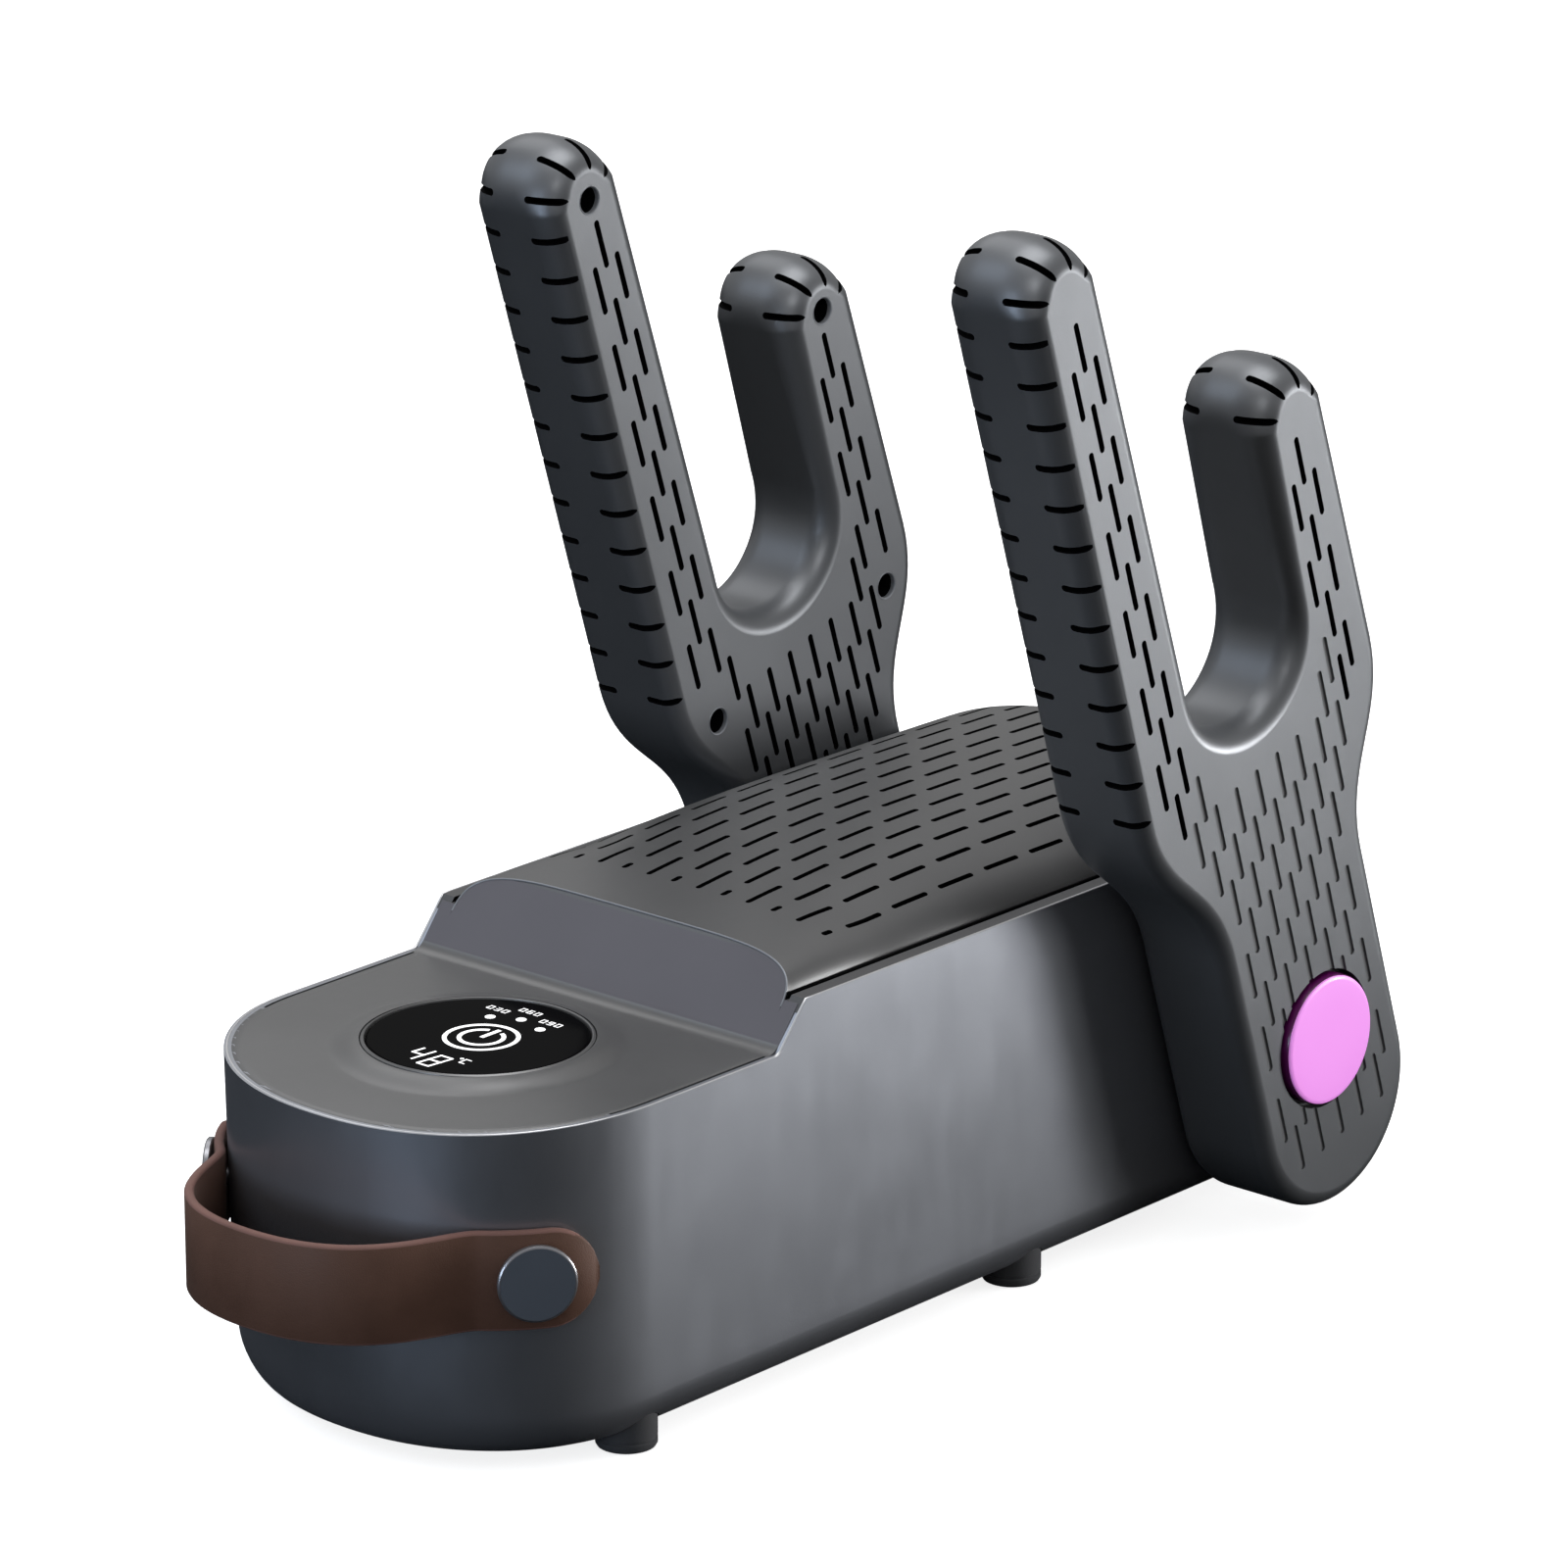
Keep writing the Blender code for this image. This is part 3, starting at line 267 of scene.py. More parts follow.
class Graph:
    """Short way to wire a material's nodes."""

    def __init__(self, name):
        self.material = bpy.data.materials.new(name)
        self.material.use_nodes = True
        self.tree = self.material.node_tree
        self.shader = self.tree.nodes["Principled BSDF"]
        self.place = self.node("ShaderNodeTexCoord").outputs["Object"]

    def node(self, kind, inputs=None, **settings):
        made = self.tree.nodes.new(kind)
        for key, value in settings.items():
            setattr(made, key, value)
        for key, value in (inputs or {}).items():
            if isinstance(value, bpy.types.NodeSocket):
                self.tree.links.new(value, made.inputs[key])
            else:
                made.inputs[key].default_value = value
        return made

    def noise(self, scale, detail, rough=0.5, stretch=(1, 1, 1)):
        mapped = self.node("ShaderNodeMapping", {"Vector": self.place, "Scale": stretch})
        inputs = {"Vector": mapped.outputs[0], "Scale": scale, "Detail": detail, "Roughness": rough}
        return self.node("ShaderNodeTexNoise", inputs).outputs["Fac"]

    def ramp(self, value, low_out, high_out, low_in=0.3, high_in=0.7):
        inputs = {"Value": value, "From Min": low_in, "From Max": high_in}
        inputs |= {"To Min": low_out, "To Max": high_out}
        return self.node("ShaderNodeMapRange", inputs).outputs[0]

    def mix(self, value, first, second):
        made = self.node("ShaderNodeMix", data_type="RGBA")
        for key, given in ((0, value), (6, first), (7, second)):
            if isinstance(given, bpy.types.NodeSocket):
                self.tree.links.new(given, made.inputs[key])
            else:
                made.inputs[key].default_value = given
        return made.outputs[2]

    def bump(self, height, strength, distance, after=None):
        inputs = {"Height": height, "Strength": strength, "Distance": distance}
        if after:
            inputs["Normal"] = after
        return self.node("ShaderNodeBump", inputs).outputs[0]

    def link(self, value, socket):
        self.tree.links.new(value, self.shader.inputs[socket])

    def mottle(self, value, colour, dark=0.97, light=1.03):
        base = self.mix(self.ramp(value, 0, 1), tinted(colour, dark), tinted(colour, light))
        self.link(base, "Base Color")

    def set(self, **values):
        for key, value in values.items():
            self.shader.inputs[key.replace("_", " ")].default_value = value


def rgb(r, g, b):
    return (r, g, b, 1.0)


def tinted(colour, factor):
    return tuple(c * factor for c in colour[:3]) + (1.0,)


def moulded(name, colour, rough, metallic=0.0, grain=0.25, grain_scale=2600, specular=0.5):
    """Moulded plastic: fine grain, slight cloudiness in colour and gloss, faint handling marks."""
    g = Graph(name)
    cloud, fine = g.noise(38, 5), g.noise(grain_scale, 2, 0.6)
    worn = g.noise(160, 6, 0.7, (1, 1, 0.35))
    g.mottle(cloud, colour)
    gloss = {0: g.ramp(cloud, -0.01, 0.01), 1: g.ramp(worn, rough - 0.01, rough + 0.02)}
    g.link(g.node("ShaderNodeMath", gloss, operation="ADD").outputs[0], "Roughness")
    soft = g.bump(worn, 0.02, 0.00005)
    g.link(g.bump(fine, grain, 0.00006, soft), "Normal")
    g.set(Metallic=metallic, Specular_IOR_Level=specular)
    return g.material


def polished(name, colour, rough=0.25, coat=0.1, specular=0.5, glow=0.0, glow_colour=rgb(1, 1, 1)):
    """Glossy moulding with a clear skin and, where asked for, a faint glow, which is painted light since
    the part is no lamp.
    """
    g = Graph(name)
    cloud, wave = g.noise(30, 3), g.noise(90, 2)
    g.mottle(cloud, colour)
    g.link(g.ramp(cloud, rough - 0.04, rough + 0.04), "Roughness")
    g.link(g.bump(wave, 0.03, 0.0002), "Normal")
    g.set(Coat_Weight=coat, Coat_Roughness=0.08, Specular_IOR_Level=specular)
    g.set(Emission_Color=glow_colour, Emission_Strength=glow)
    return g.material


def brushed(name, colour, rough=0.3):
    """Metal with fine lines round its faces."""
    g = Graph(name)
    line = g.noise(900, 3, 0.6, (0.15, 1, 1))
    g.mottle(line, colour, 0.85, 1.1)
    g.link(g.ramp(line, rough - 0.06, rough + 0.1), "Roughness")
    g.link(g.bump(line, 0.12, 0.00004), "Normal")
    g.set(Metallic=1.0)
    return g.material


def leather(name, colour, pale, rough=0.55):
    """Smooth hide: pores and creases over a mottled, rubbed colour."""
    g = Graph(name)
    cells = g.node("ShaderNodeTexVoronoi", {"Vector": g.place, "Scale": 1500.0, "Randomness": 1.0},
                   feature="DISTANCE_TO_EDGE").outputs["Distance"]
    mottle, crease, rubbed = g.noise(60, 5, 0.6), g.noise(420, 5, 0.65, (1, 1, 2.2)), g.noise(22, 3)
    base = g.mix(g.ramp(mottle, 0, 1, 0.35, 0.7), colour, tinted(colour, 1.25))
    g.link(g.mix(g.ramp(rubbed, 0, 0.35, 0.5, 0.75), base, pale), "Base Color")
    g.link(g.ramp(mottle, rough - 0.06, rough + 0.1), "Roughness")
    pores = g.bump(g.ramp(cells, 0, 1, 0.0, 0.12), 0.25, 0.00008)
    g.link(g.bump(crease, 0.2, 0.00018, pores), "Normal")
    g.set(Specular_IOR_Level=0.25, Sheen_Weight=0.05, Sheen_Roughness=0.4)
    return g.material


def glowing(name, colour, strength):
    """Printed or back-lit marking."""
    g = Graph(name)
    cloud = g.noise(300, 2)
    tint = g.mix(g.ramp(cloud, 0, 1), tinted(colour, 0.94), colour)
    g.link(tint, "Base Color")
    g.link(tint, "Emission Color")
    g.set(Emission_Strength=strength, Roughness=0.6)
    return g.material


CASING = moulded("satin_gunmetal", rgb(0.345, 0.359, 0.394), 0.36, metallic=0.85)
# Light grey for the bead on the casing's top edge: a painted highlight of the edge.
RIM_HIGHLIGHT = moulded("painted_edge_highlight", rgb(0.60, 0.60, 0.61), 0.30, metallic=0.6, grain=0.05)
DECK = moulded("deck_grey", rgb(0.138, 0.138, 0.139), 0.35, metallic=0.55)
RAIL = moulded("rail_grey", rgb(0.065, 0.065, 0.067), 0.5)
# Darker grey for the sloped face behind the deck: painted shade of a face that tilts away from the top
# light.
SLOPE_SHADE = moulded("slope_painted_shade", rgb(0.115, 0.111, 0.124), 0.60, specular=0.25)
COVER = moulded("cover_grey", rgb(0.115, 0.115, 0.116), 0.40, metallic=0.4)
ARM = moulded("slate_matt", rgb(0.142, 0.148, 0.157), 0.40, metallic=0.65)
# Lighter grey of the screw lips; on the crest bead the same grey is a painted highlight.
LIP_GREY_AND_HIGHLIGHT = moulded("lip_grey_and_crest_highlight", rgb(0.22, 0.23, 0.25), 0.35, metallic=0.3)
GROOVE = moulded("groove_shadow", rgb(0.105, 0.107, 0.112), 0.7)
# Near-black for the floors and walls of slots, sockets, holes and grooves: painted shade where their
# insides lie in shadow. Also the dark plane under the floor.
SHADE_BLACK = moulded("painted_shade_black", rgb(0.0015, 0.0015, 0.0018), 0.9, specular=0.05)
BLACK_PLASTIC = moulded("black_moulding", rgb(0.012, 0.012, 0.014), 0.55)
# The disc's emission is painted light: it brightens the disc though it is no lamp.
PINK = polished("orchid_gloss", rgb(1.0, 0.36, 1.0), rough=0.45, glow=0.14, glow_colour=rgb(1.0, 0.30, 1.0))
# Deep magenta of the disc's side, darkened almost to black as painted shade.
PINK_EDGE_SHADE = polished("orchid_edge_shade", rgb(0.10, 0.004, 0.085))
GLASS = polished("display_black", rgb(0.0010, 0.0010, 0.0012), rough=0.12, coat=0.0, specular=0.01)
MARKS = glowing("display_white", rgb(0.9, 0.9, 0.9), 1.0)
HIDE = leather("brown_leather", rgb(0.098, 0.049, 0.033), rgb(0.138, 0.074, 0.052))
HIDE_EDGE = leather("leather_edge", rgb(0.165, 0.085, 0.070), rgb(0.21, 0.12, 0.10), rough=0.65)
RIVET = moulded("rivet_slate", rgb(0.160, 0.185, 0.225), 0.40, metallic=0.5, grain=0.12)
RIVET_RIM = moulded("rivet_rim", rgb(0.30, 0.30, 0.32), 0.30, metallic=0.8, grain=0.05)
STEEL = brushed("bright_steel", rgb(0.62, 0.62, 0.63))
RUBBER = moulded("foot_rubber", rgb(0.050, 0.051, 0.055), 0.75, grain=0.6, grain_scale=1500, specular=0.3)
BOARD = moulded("board_green", rgb(0.02, 0.10, 0.04), 0.5)
CERAMIC = moulded("pale_ceramic", rgb(0.62, 0.58, 0.50), 0.8)
CAD_FINISHES = dict(
    body_plastic=CASING, deck_plastic=DECK, grille_plastic=COVER, arm_plastic=ARM, pink_cap=PINK,
    black_plastic=BLACK_PLASTIC, display_glass=GLASS, strap_leather=HIDE, rivet_metal=RIVET,
    foot_rubber=RUBBER, steel=STEEL, circuit_board=BOARD, heater_ceramic=CERAMIC)


def finish_cad_nodes():
    """Every CAD node that stays gets the detailed material of its record slot."""
    for part in frame["record"]["subparts"]:
        mesh = frame["nodes"][part["node"]].data
        mesh.materials.clear()
        mesh.materials.append(CAD_FINISHES[part["material_slot"]])
        mesh.polygons.foreach_set("material_index", [0] * len(mesh.polygons))


# --- body outlines

def end_arc(half_width, depth, start, power, direction, steps):
    curve = []
    for i in range(steps + 1):
        angle = pi * i / steps
        c, s = cos(angle), max(0.0, sin(angle))
        x = half_width * copysign(abs(c) ** (2 / power), c)
        curve.append((x, start + direction * depth * s ** (2 / power)))
    return curve


def plan(inset, front_inset=None, steps=72):
    front = FRONT_DEPTH - (inset if front_inset is None else front_inset)
    ahead = end_arc(HALF_WIDTH - inset, front, FRONT_START, FRONT_POWER, -1, steps)
    behind = end_arc(HALF_WIDTH - inset, REAR_DEPTH - inset, REAR_START, REAR_POWER, 1, steps // 2)
    return ahead + behind[::-1]


def plan_half_width(y, inset=0.0):
    if y < FRONT_START:
        past, power = (FRONT_START - y) / (FRONT_DEPTH - inset), FRONT_POWER
    else:
        past, power = max(0.0, (y - REAR_START) / (REAR_DEPTH - inset)), REAR_POWER
    return (HALF_WIDTH - inset) * max(0.0, 1 - past ** power) ** (1 / power)


def quarter(across, up, height):
    rest = max(0.0, 1 - height / up)
    return across * (1 - sqrt(1 - rest * rest))


def body_ring(z, inset=0.0):
    h = z - BODY_BOTTOM
    side = quarter(FILLET, FILLET, h) + inset
    draft = FRONT_DRAFT * max(0.0, 1 - h / (DECK_TOP - BODY_BOTTOM))
    front = quarter(FRONT_FILLET, FRONT_FILLET_HEIGHT, h) + draft + inset
    return [(x, y, z) for x, y in plan(side, front)]


def deck_height(y):
    past = max(0.0, DROOP_FROM - y)
    return DECK_TOP - DROOP * (past / DROOP_LENGTH) ** 1.5


def across(profile, reach=REACH):
    return loft([[(x, y, z) for y, z in profile] for x in (-reach, reach)])


def rivet_matrix(side):
    x = plan_half_width(RIVET_Y)
    past = (FRONT_START - RIVET_Y) / FRONT_DEPTH
    sideways = (x / HALF_WIDTH) ** (FRONT_POWER - 1) / HALF_WIDTH
    forwards = past ** (FRONT_POWER - 1) / FRONT_DEPTH
    normal = Vector((side * sideways, -forwards, 0)).normalized()
    return at(side * x, RIVET_Y, STRAP_Z) @ normal.to_track_quat("Z", "Y").to_matrix().to_4x4()


# --- body

def top_cut():
    """Side view of what is cut away above the deck, the slope's ramp and the side rails."""
    front, first, span = -0.150, -0.146, 0.0425
    ys = [-REACH, front] + [first + span * i / 12 for i in range(13)]
    line = [(y, deck_height(max(y, front))) for y in ys]
    line += [(SLOPE_FOOT, DECK_TOP), (RAMP_TOP, RAIL_TOP)]
    return line + [(REACH, RAIL_TOP), (REACH, REACH), (-REACH, REACH)]


def make_casing():
    rises = [0.0] + [FILLET * (1 - cos(pi / 2 * i / 10)) for i in range(1, 11)]
    rises += [*WALL_RISES, DECK_TOP - BODY_BOTTOM, CASING_TOP]
    casing = make("casing", loft([body_ring(BODY_BOTTOM + h) for h in rises]), CASING)
    inside = [body_ring(z, WALL) for z in (*INSIDE_HEIGHTS, REACH)]
    carve(casing, loft(inside))
    carve(casing, across(top_cut()))
    lo, hi = low("base_plate"), high("base_plate")
    half, front, rear = hi.x + GAP, lo.y - GAP, hi.y + GAP
    holes = [prism([(half, front), (half, rear), (-half, rear), (-half, front)], 0, hi.z + GAP)]
    for foot in map(middle, FEET):
        holes.append(moved(rod(FOOT_RADIUS + GAP, -0.01, FOOT_TOP), at(foot.x, foot.y)))
    for side, _ in SIDES:
        holes.append(moved(rod(BUSH_NECK + GAP, 0.050, 0.070), at(0, PIVOT.y, PIVOT.z) @ along_x(side)))
    lo, hi = low("power_inlet"), high("power_inlet")
    holes.append(block((lo.x - GAP, 0.150, lo.z - GAP), (hi.x + GAP, REACH, hi.z + GAP)))
    carve(casing, joined(holes), BLACK_PLASTIC)
    place(weigh(casing), "body", "body_plastic", "body_shell")


def rim_path():
    """Upper outer edge of the casing: from the front's middle round by +X to the rear, and back by -X."""
    front = end_arc(HALF_WIDTH, FRONT_DEPTH, FRONT_START, FRONT_POWER, -1, 144)[72::-1]
    edge = [(x, y, deck_height(y)) for x, y in front]
    side = [(y, DECK_TOP) for y in (-0.060, -0.054, -0.0505)] + [foot_bend(i / 8) for i in range(9)]
    side.append((RAMP_TOP - 0.0012, RAIL_TOP - 0.0014))
    side += [(y, RAIL_TOP) for y in (RAMP_TOP, RAMP_TOP + 0.003, 0.04, REAR_START)]
    edge += [(HALF_WIDTH, y, z) for y, z in side]
    rear = end_arc(HALF_WIDTH, REAR_DEPTH, REAR_START, REAR_POWER, 1, 80)[1:41]
    edge += [(x, y, RAIL_TOP) for x, y in rear]
    return edge[1:] + [(-x, y, z) for x, y, z in edge[::-1][1:]]


def foot_bend(part):
    """Small concave bend of the rim where the slope begins."""
    slope = atan2(RAIL_TOP - DECK_TOP, RAMP_TOP - SLOPE_FOOT)
    radius = 0.004
    start = SLOPE_FOOT - radius * tan(slope / 2)
    angle = slope * part
    return start + radius * sin(angle), DECK_TOP + radius * (1 - cos(angle))


def tube(path, radius, steps=8, closed=True):
    """Round bead along a path, closed or open."""
    points = [Vector(p) for p in path]
    count = len(points)
    rings = []
    for i, point in enumerate(points):
        before = points[i - 1] if closed or i else point
        after = points[(i + 1) % count] if closed or i < count - 1 else point
        ahead = (after - before).normalized()
        side = ahead.cross(Vector((0, 0, 1))).normalized()
        up = side.cross(ahead)
        rings.append([point + radius * (cos(a) * side + sin(a) * up)
                      for a in (2 * pi * k / steps for k in range(steps))])
    return loft(rings, wrap=closed)


def make_rim():
    scale = (HALF_WIDTH - BEAD) / HALF_WIDTH
    path = [(x * scale, y * scale if abs(y) > 0.06 else y, z - 0.0002) for x, y, z in rim_path()]
    # The bead's light grey is a painted highlight along the casing's upper edge.
    piece("rim_bead", tube(path, BEAD), RIM_HIGHLIGHT, "body", "body_plastic", sharp=80)


def deck_outline():
    """Front part of the deck in plan, closed at the rear by a straight edge."""
    outline = [(x, y) for x, y in plan(RIM + GAP, steps=56) if y <= FRONT_START]
    half, rear = HALF_WIDTH - RIM - GAP, SLOPE_FOOT + 0.0008
    return outline + [(-half, rear), (half, rear)]


def reach_to(outline, centre, angle):
    """Distance from centre to a convex outline in one direction."""
    dx, dy = cos(angle), sin(angle)
    best = 1.0
    for (x0, y0), (x1, y1) in zip(outline, outline[1:] + outline[:1]):
        ex, ey = x1 - x0, y1 - y0
        cross = dx * ey - dy * ex
        if abs(cross) < 1e-12:
            continue
        t = ((x0 - centre.x) * ey - (y0 - centre.y) * ex) / cross
        s = ((x0 - centre.x) * dy - (y0 - centre.y) * dx) / cross
        if t > 1e-6 and -1e-9 <= s <= 1 + 1e-9:
            best = min(best, t)
    return best


def collar_rise(radius, bore):
    """S-shaped flare from the deck up to the lens ring."""
    return COLLAR_RISE * 0.92 * smooth((COLLAR_RADIUS - radius) / (COLLAR_RADIUS - bore))


def make_deck():
    bore, bottom, skirt = LENS_RADIUS + 0.0015, DECK_TOP - 0.0030, 0.00035
    outline, centre = deck_outline(), DISPLAY
    angles = [2 * pi * i / 288 for i in range(288)]
    angles += [atan2(y - centre.y, x - centre.x) % (2 * pi) for x, y in outline[-2:]]
    angles.sort()
    reaches = [reach_to(outline, centre, a) for a in angles]

    def ring(distances, height=None):
        points = []
        for angle, distance in zip(angles, distances):
            x, y = centre.x + distance * cos(angle), centre.y + distance * sin(angle)
            points.append((x, y, height if height else deck_height(y) + collar_rise(distance, bore)))
        return points

    rings = [ring([bore] * len(angles), bottom)]
    rings += [ring([bore + (COLLAR_RADIUS - bore) * i / 12] * len(angles)) for i in range(13)]
    for part in (0.12, 0.3, 0.5, 0.7, 0.88, 1.0):
        rings.append(ring([COLLAR_RADIUS + (r - skirt - COLLAR_RADIUS) * part for r in reaches]))
    edge = [(x, y, z - skirt) for x, y, z in ring(reaches)]
    rings += [edge, ring(reaches, bottom)]
    piece("deck", loft(rings, wrap=True), DECK, "body", "deck_plastic", "control_deck", sharp=50)


def slope_profile():
    """Side view of the panel behind the deck: a soft bend at its foot, then a straight slope."""
    rise, run = CREST_Z - DECK_TOP, CREST_Y - SLOPE_FOOT
    slope = atan2(rise, run)
    radius = FOOT_BEND / tan(slope / 2)
    start = SLOPE_FOOT - FOOT_BEND
    line = [(start + radius * sin(slope * i / 16), DECK_TOP + radius * (1 - cos(slope * i / 16)))
             for i in range(17)]
    thick = 0.0024
    back = [(CREST_Y + 0.0006, CREST_Z - 0.0004), (CREST_Y + 0.0006, CREST_Z - thick),
            (SLOPE_FOOT + 0.004, DECK_TOP - 0.0025), (start, DECK_TOP - 0.0025)]
    return line + [(CREST_Y, CREST_Z)] + back


def slope_y(z):
    return SLOPE_FOOT + (z - DECK_TOP) * (CREST_Y - SLOPE_FOOT) / (CREST_Z - DECK_TOP)


def slope_front(back):
    """Side view of all that lies before the slope, moved back by a little."""
    low_z, high_z = DECK_TOP - 0.02, CREST_Z + 0.02
    slope = [(slope_y(z) + back, z) for z in (low_z, high_z)]
    return [(-REACH, low_z)] + slope + [(-REACH, high_z)]


def crest_line(half):
    """Where the cover's outer surface meets the slope, from +X to -X."""
    foot, full = 0.0968, crown_height(CREST_Y)

    def height_at(z, y):
        return CROWN_BASE + (z - CROWN_BASE) * crown_height(y) / full

    line = []
    for x, z in arch(half, full, CREST_POWER, 80):
        y = slope_y(z)
        for _ in range(3):
            y = slope_y(height_at(z, y))
        if height_at(z, y) > foot:
            line.append((x, y + 0.0001, height_at(z, y)))
    return line


def make_slope():
    half = HALF_WIDTH - CROWN_INSET
    side = HALF_WIDTH - RIM - GAP
    panel = make("slope_panel", across(slope_profile(), side), DECK, SLOPE_SHADE, COVER)
    view = [(side, 0.0), (side, NOTCH_TOP), (half, NOTCH_TOP)]
    view += arch(half - 0.0001, crown_height(CREST_Y) - 0.0001, CREST_POWER)[1:-1]
    view += [(-half, NOTCH_TOP), (-side, NOTCH_TOP), (-side, 0.0)]
    carve(panel, loft([[(x, y, z) for x, z in view] for y in (-REACH, REACH)]), operation="INTERSECT")
    slope = atan2(CREST_Z - DECK_TOP, CREST_Y - SLOPE_FOOT)
    # Faces at the slope's angle take the darker grey: painted shade picked by the face's tilt.
    for face in panel.data.polygons:
        tilt = acos(max(-1.0, min(1.0, face.normal.z)))
        trimmed = 2 if face.center.z > NOTCH_TOP - 0.0002 else 0
        face.material_index = 1 if abs(tilt - slope) < radians(2) and face.normal.y < 0 else trimmed
    shade(panel, 40)
    place(panel, "body", "deck_plastic")
    # The crest bead's lighter grey is a painted highlight along the line where cover and slope meet.
    bead = tube(crest_line(half - 0.0001), CREST_BEAD, closed=False)
    piece("crest_bead", bead, LIP_GREY_AND_HIGHLIGHT, "body", "deck_plastic", sharp=80)


# --- vent cover

def crown_height(y):
    fall = FALL_AHEAD if y < CROWN_PEAK else FALL_BEHIND
    return CROWN_TOP - CROWN_BASE - fall * (y - CROWN_PEAK) ** 2


def crown_power(y):
    blend = min(1.0, max(0.0, (y - CREST_Y) / CREST_BLEND))
    return CREST_POWER + (CROWN_POWER - CREST_POWER) * blend


def arch(half_width, height, power, steps=48):
    """Superellipse arch over the crown's base, as (x, z) from +X to -X, evenly spaced in angle."""
    curve = []
    for i in range(2 * steps + 1):
        angle = pi * i / (2 * steps)
        c, s = cos(angle), sin(angle)
        x = copysign(abs(c) ** (2 / power), c)
        curve.append((half_width * x, CROWN_BASE + height * s ** (2 / power)))
    return curve


def crown_rows(inset, front, foot):
    depth = REAR_DEPTH - CROWN_INSET - inset
    ys = [front] + [CREST_Y + (REAR_START - CREST_Y) * i / 40 for i in range(41)]
    parts = (0.15, 0.3, 0.44, 0.56, 0.67, 0.76, 0.84, 0.9, 0.945, 0.975, 0.993)
    ys += [REAR_START + depth * part for part in parts]
    rows = []
    for y in ys:
        past = max(0.0, (y - REAR_START) / depth)
        half = plan_half_width(y, CROWN_INSET + inset) if past else HALF_WIDTH - CROWN_INSET - inset
        height = (crown_height(y) - inset) * (1 - past ** REAR_CLOSE) ** (1 / REAR_CLOSE)
        row = [(half, foot)] + arch(half, height, crown_power(y)) + [(-half, foot)]
        rows.append([(x, y, z) for x, z in row])
    return rows


def crown_seat(x, y):
    """Frame on the cover's surface at x, y, with +Z along its normal."""
    half, height, power = HALF_WIDTH - CROWN_INSET, crown_height(y), crown_power(y)

    def z(at_x):
        return CROWN_BASE + height * (1 - abs(at_x / half) ** power) ** (1 / power)

    tilt = atan2(z(x - 0.0002) - z(x + 0.0002), 0.0004)
    return at(x, y, z(x)) @ Matrix.Rotation(tilt, 4, "Y")


def dash_places():
    """(x, middle y, length) of every slot in the cover."""
    places = []
    for k in range(-DASH_ROWS // 2, DASH_ROWS // 2):
        x = DASH_SPACING * (k + 0.5)
        if k % 2 == 0:
            starts = [(DASH_START + DASH_PITCH * i, DASH_LENGTH) for i in range(10)]
        else:
            starts = [(DASH_START, SHORT_DASH)]
            starts += [(DASH_START + DASH_PITCH / 2 + DASH_PITCH * i, DASH_LENGTH) for i in range(9)]
        places += [(x, y + length / 2, length) for y, length in starts if y + length < DASH_END]
    return places


def make_cover():
    ahead = across(slope_front(SEAM))
    cover = make("vent_cover", loft(crown_rows(0.0, SLOPE_FOOT, 0.0900)), COVER)
    # The cover's inner faces take near-black: painted shade inside the cover, seen through the dashes.
    carve(cover, loft(crown_rows(CROWN_WALL, SLOPE_FOOT - 0.01, 0.08)), SHADE_BLACK)
    carve(cover, ahead)
    carve(cover, block((-REACH, -REACH, 0), (REACH, REACH, GUTTER_TOP - 0.001)))
    slots = []
    for x, y, length in dash_places():
        seat = crown_seat(x, y)
        shape = stadium(length, DASH_WIDTH * seat.col[2].z ** DASH_NARROWING)
        slots.append(moved(prism(shape, -DASH_DEPTH, DASH_ABOVE), seat))
    # The dash walls are cut in near-black: painted shade inside the slots.
    carve(cover, joined(slots), SHADE_BLACK)
    place(weigh(cover), "body", "grille_plastic", "top_grille")
    rail = make("rail", prism(plan(RAIL_INSET), RAIL_TOP - 0.003, RAIL_TOP + RAIL_PROUD), RAIL)
    # The rail's inner wall is cut in near-black: painted shade of the groove beside the cover.
    carve(rail, prism(plan(RAIL_INNER), 0.0, REACH), SHADE_BLACK)
    carve(rail, ahead)
    place(rail, "body", "body_plastic")
    # Thin near-black strip between the cover and the rail: a painted shadow line at the cover's foot, not a
    # real part.
    painted_shade_strip = make("painted_shade_strip", prism(plan(CROWN_INSET - SEAM), GUTTER_TOP - 0.001, RAIL_TOP + GAP), SHADE_BLACK)
    carve(painted_shade_strip, prism(plan(CROWN_INSET + GAP), 0.0, REACH))
    carve(painted_shade_strip, ahead)
    place(painted_shade_strip, "body", "grille_plastic")
    # Near-black floor of the gutter: painted shade at the bottom of the groove.
    gutter = make("gutter", prism(plan(WALL + GAP), GUTTER_TOP - 0.002, GUTTER_TOP), SHADE_BLACK)
    carve(gutter, block((-REACH, -REACH, 0), (REACH, CREST_Y + 0.001, REACH)))
    place(gutter, "body", "grille_plastic")


# --- display

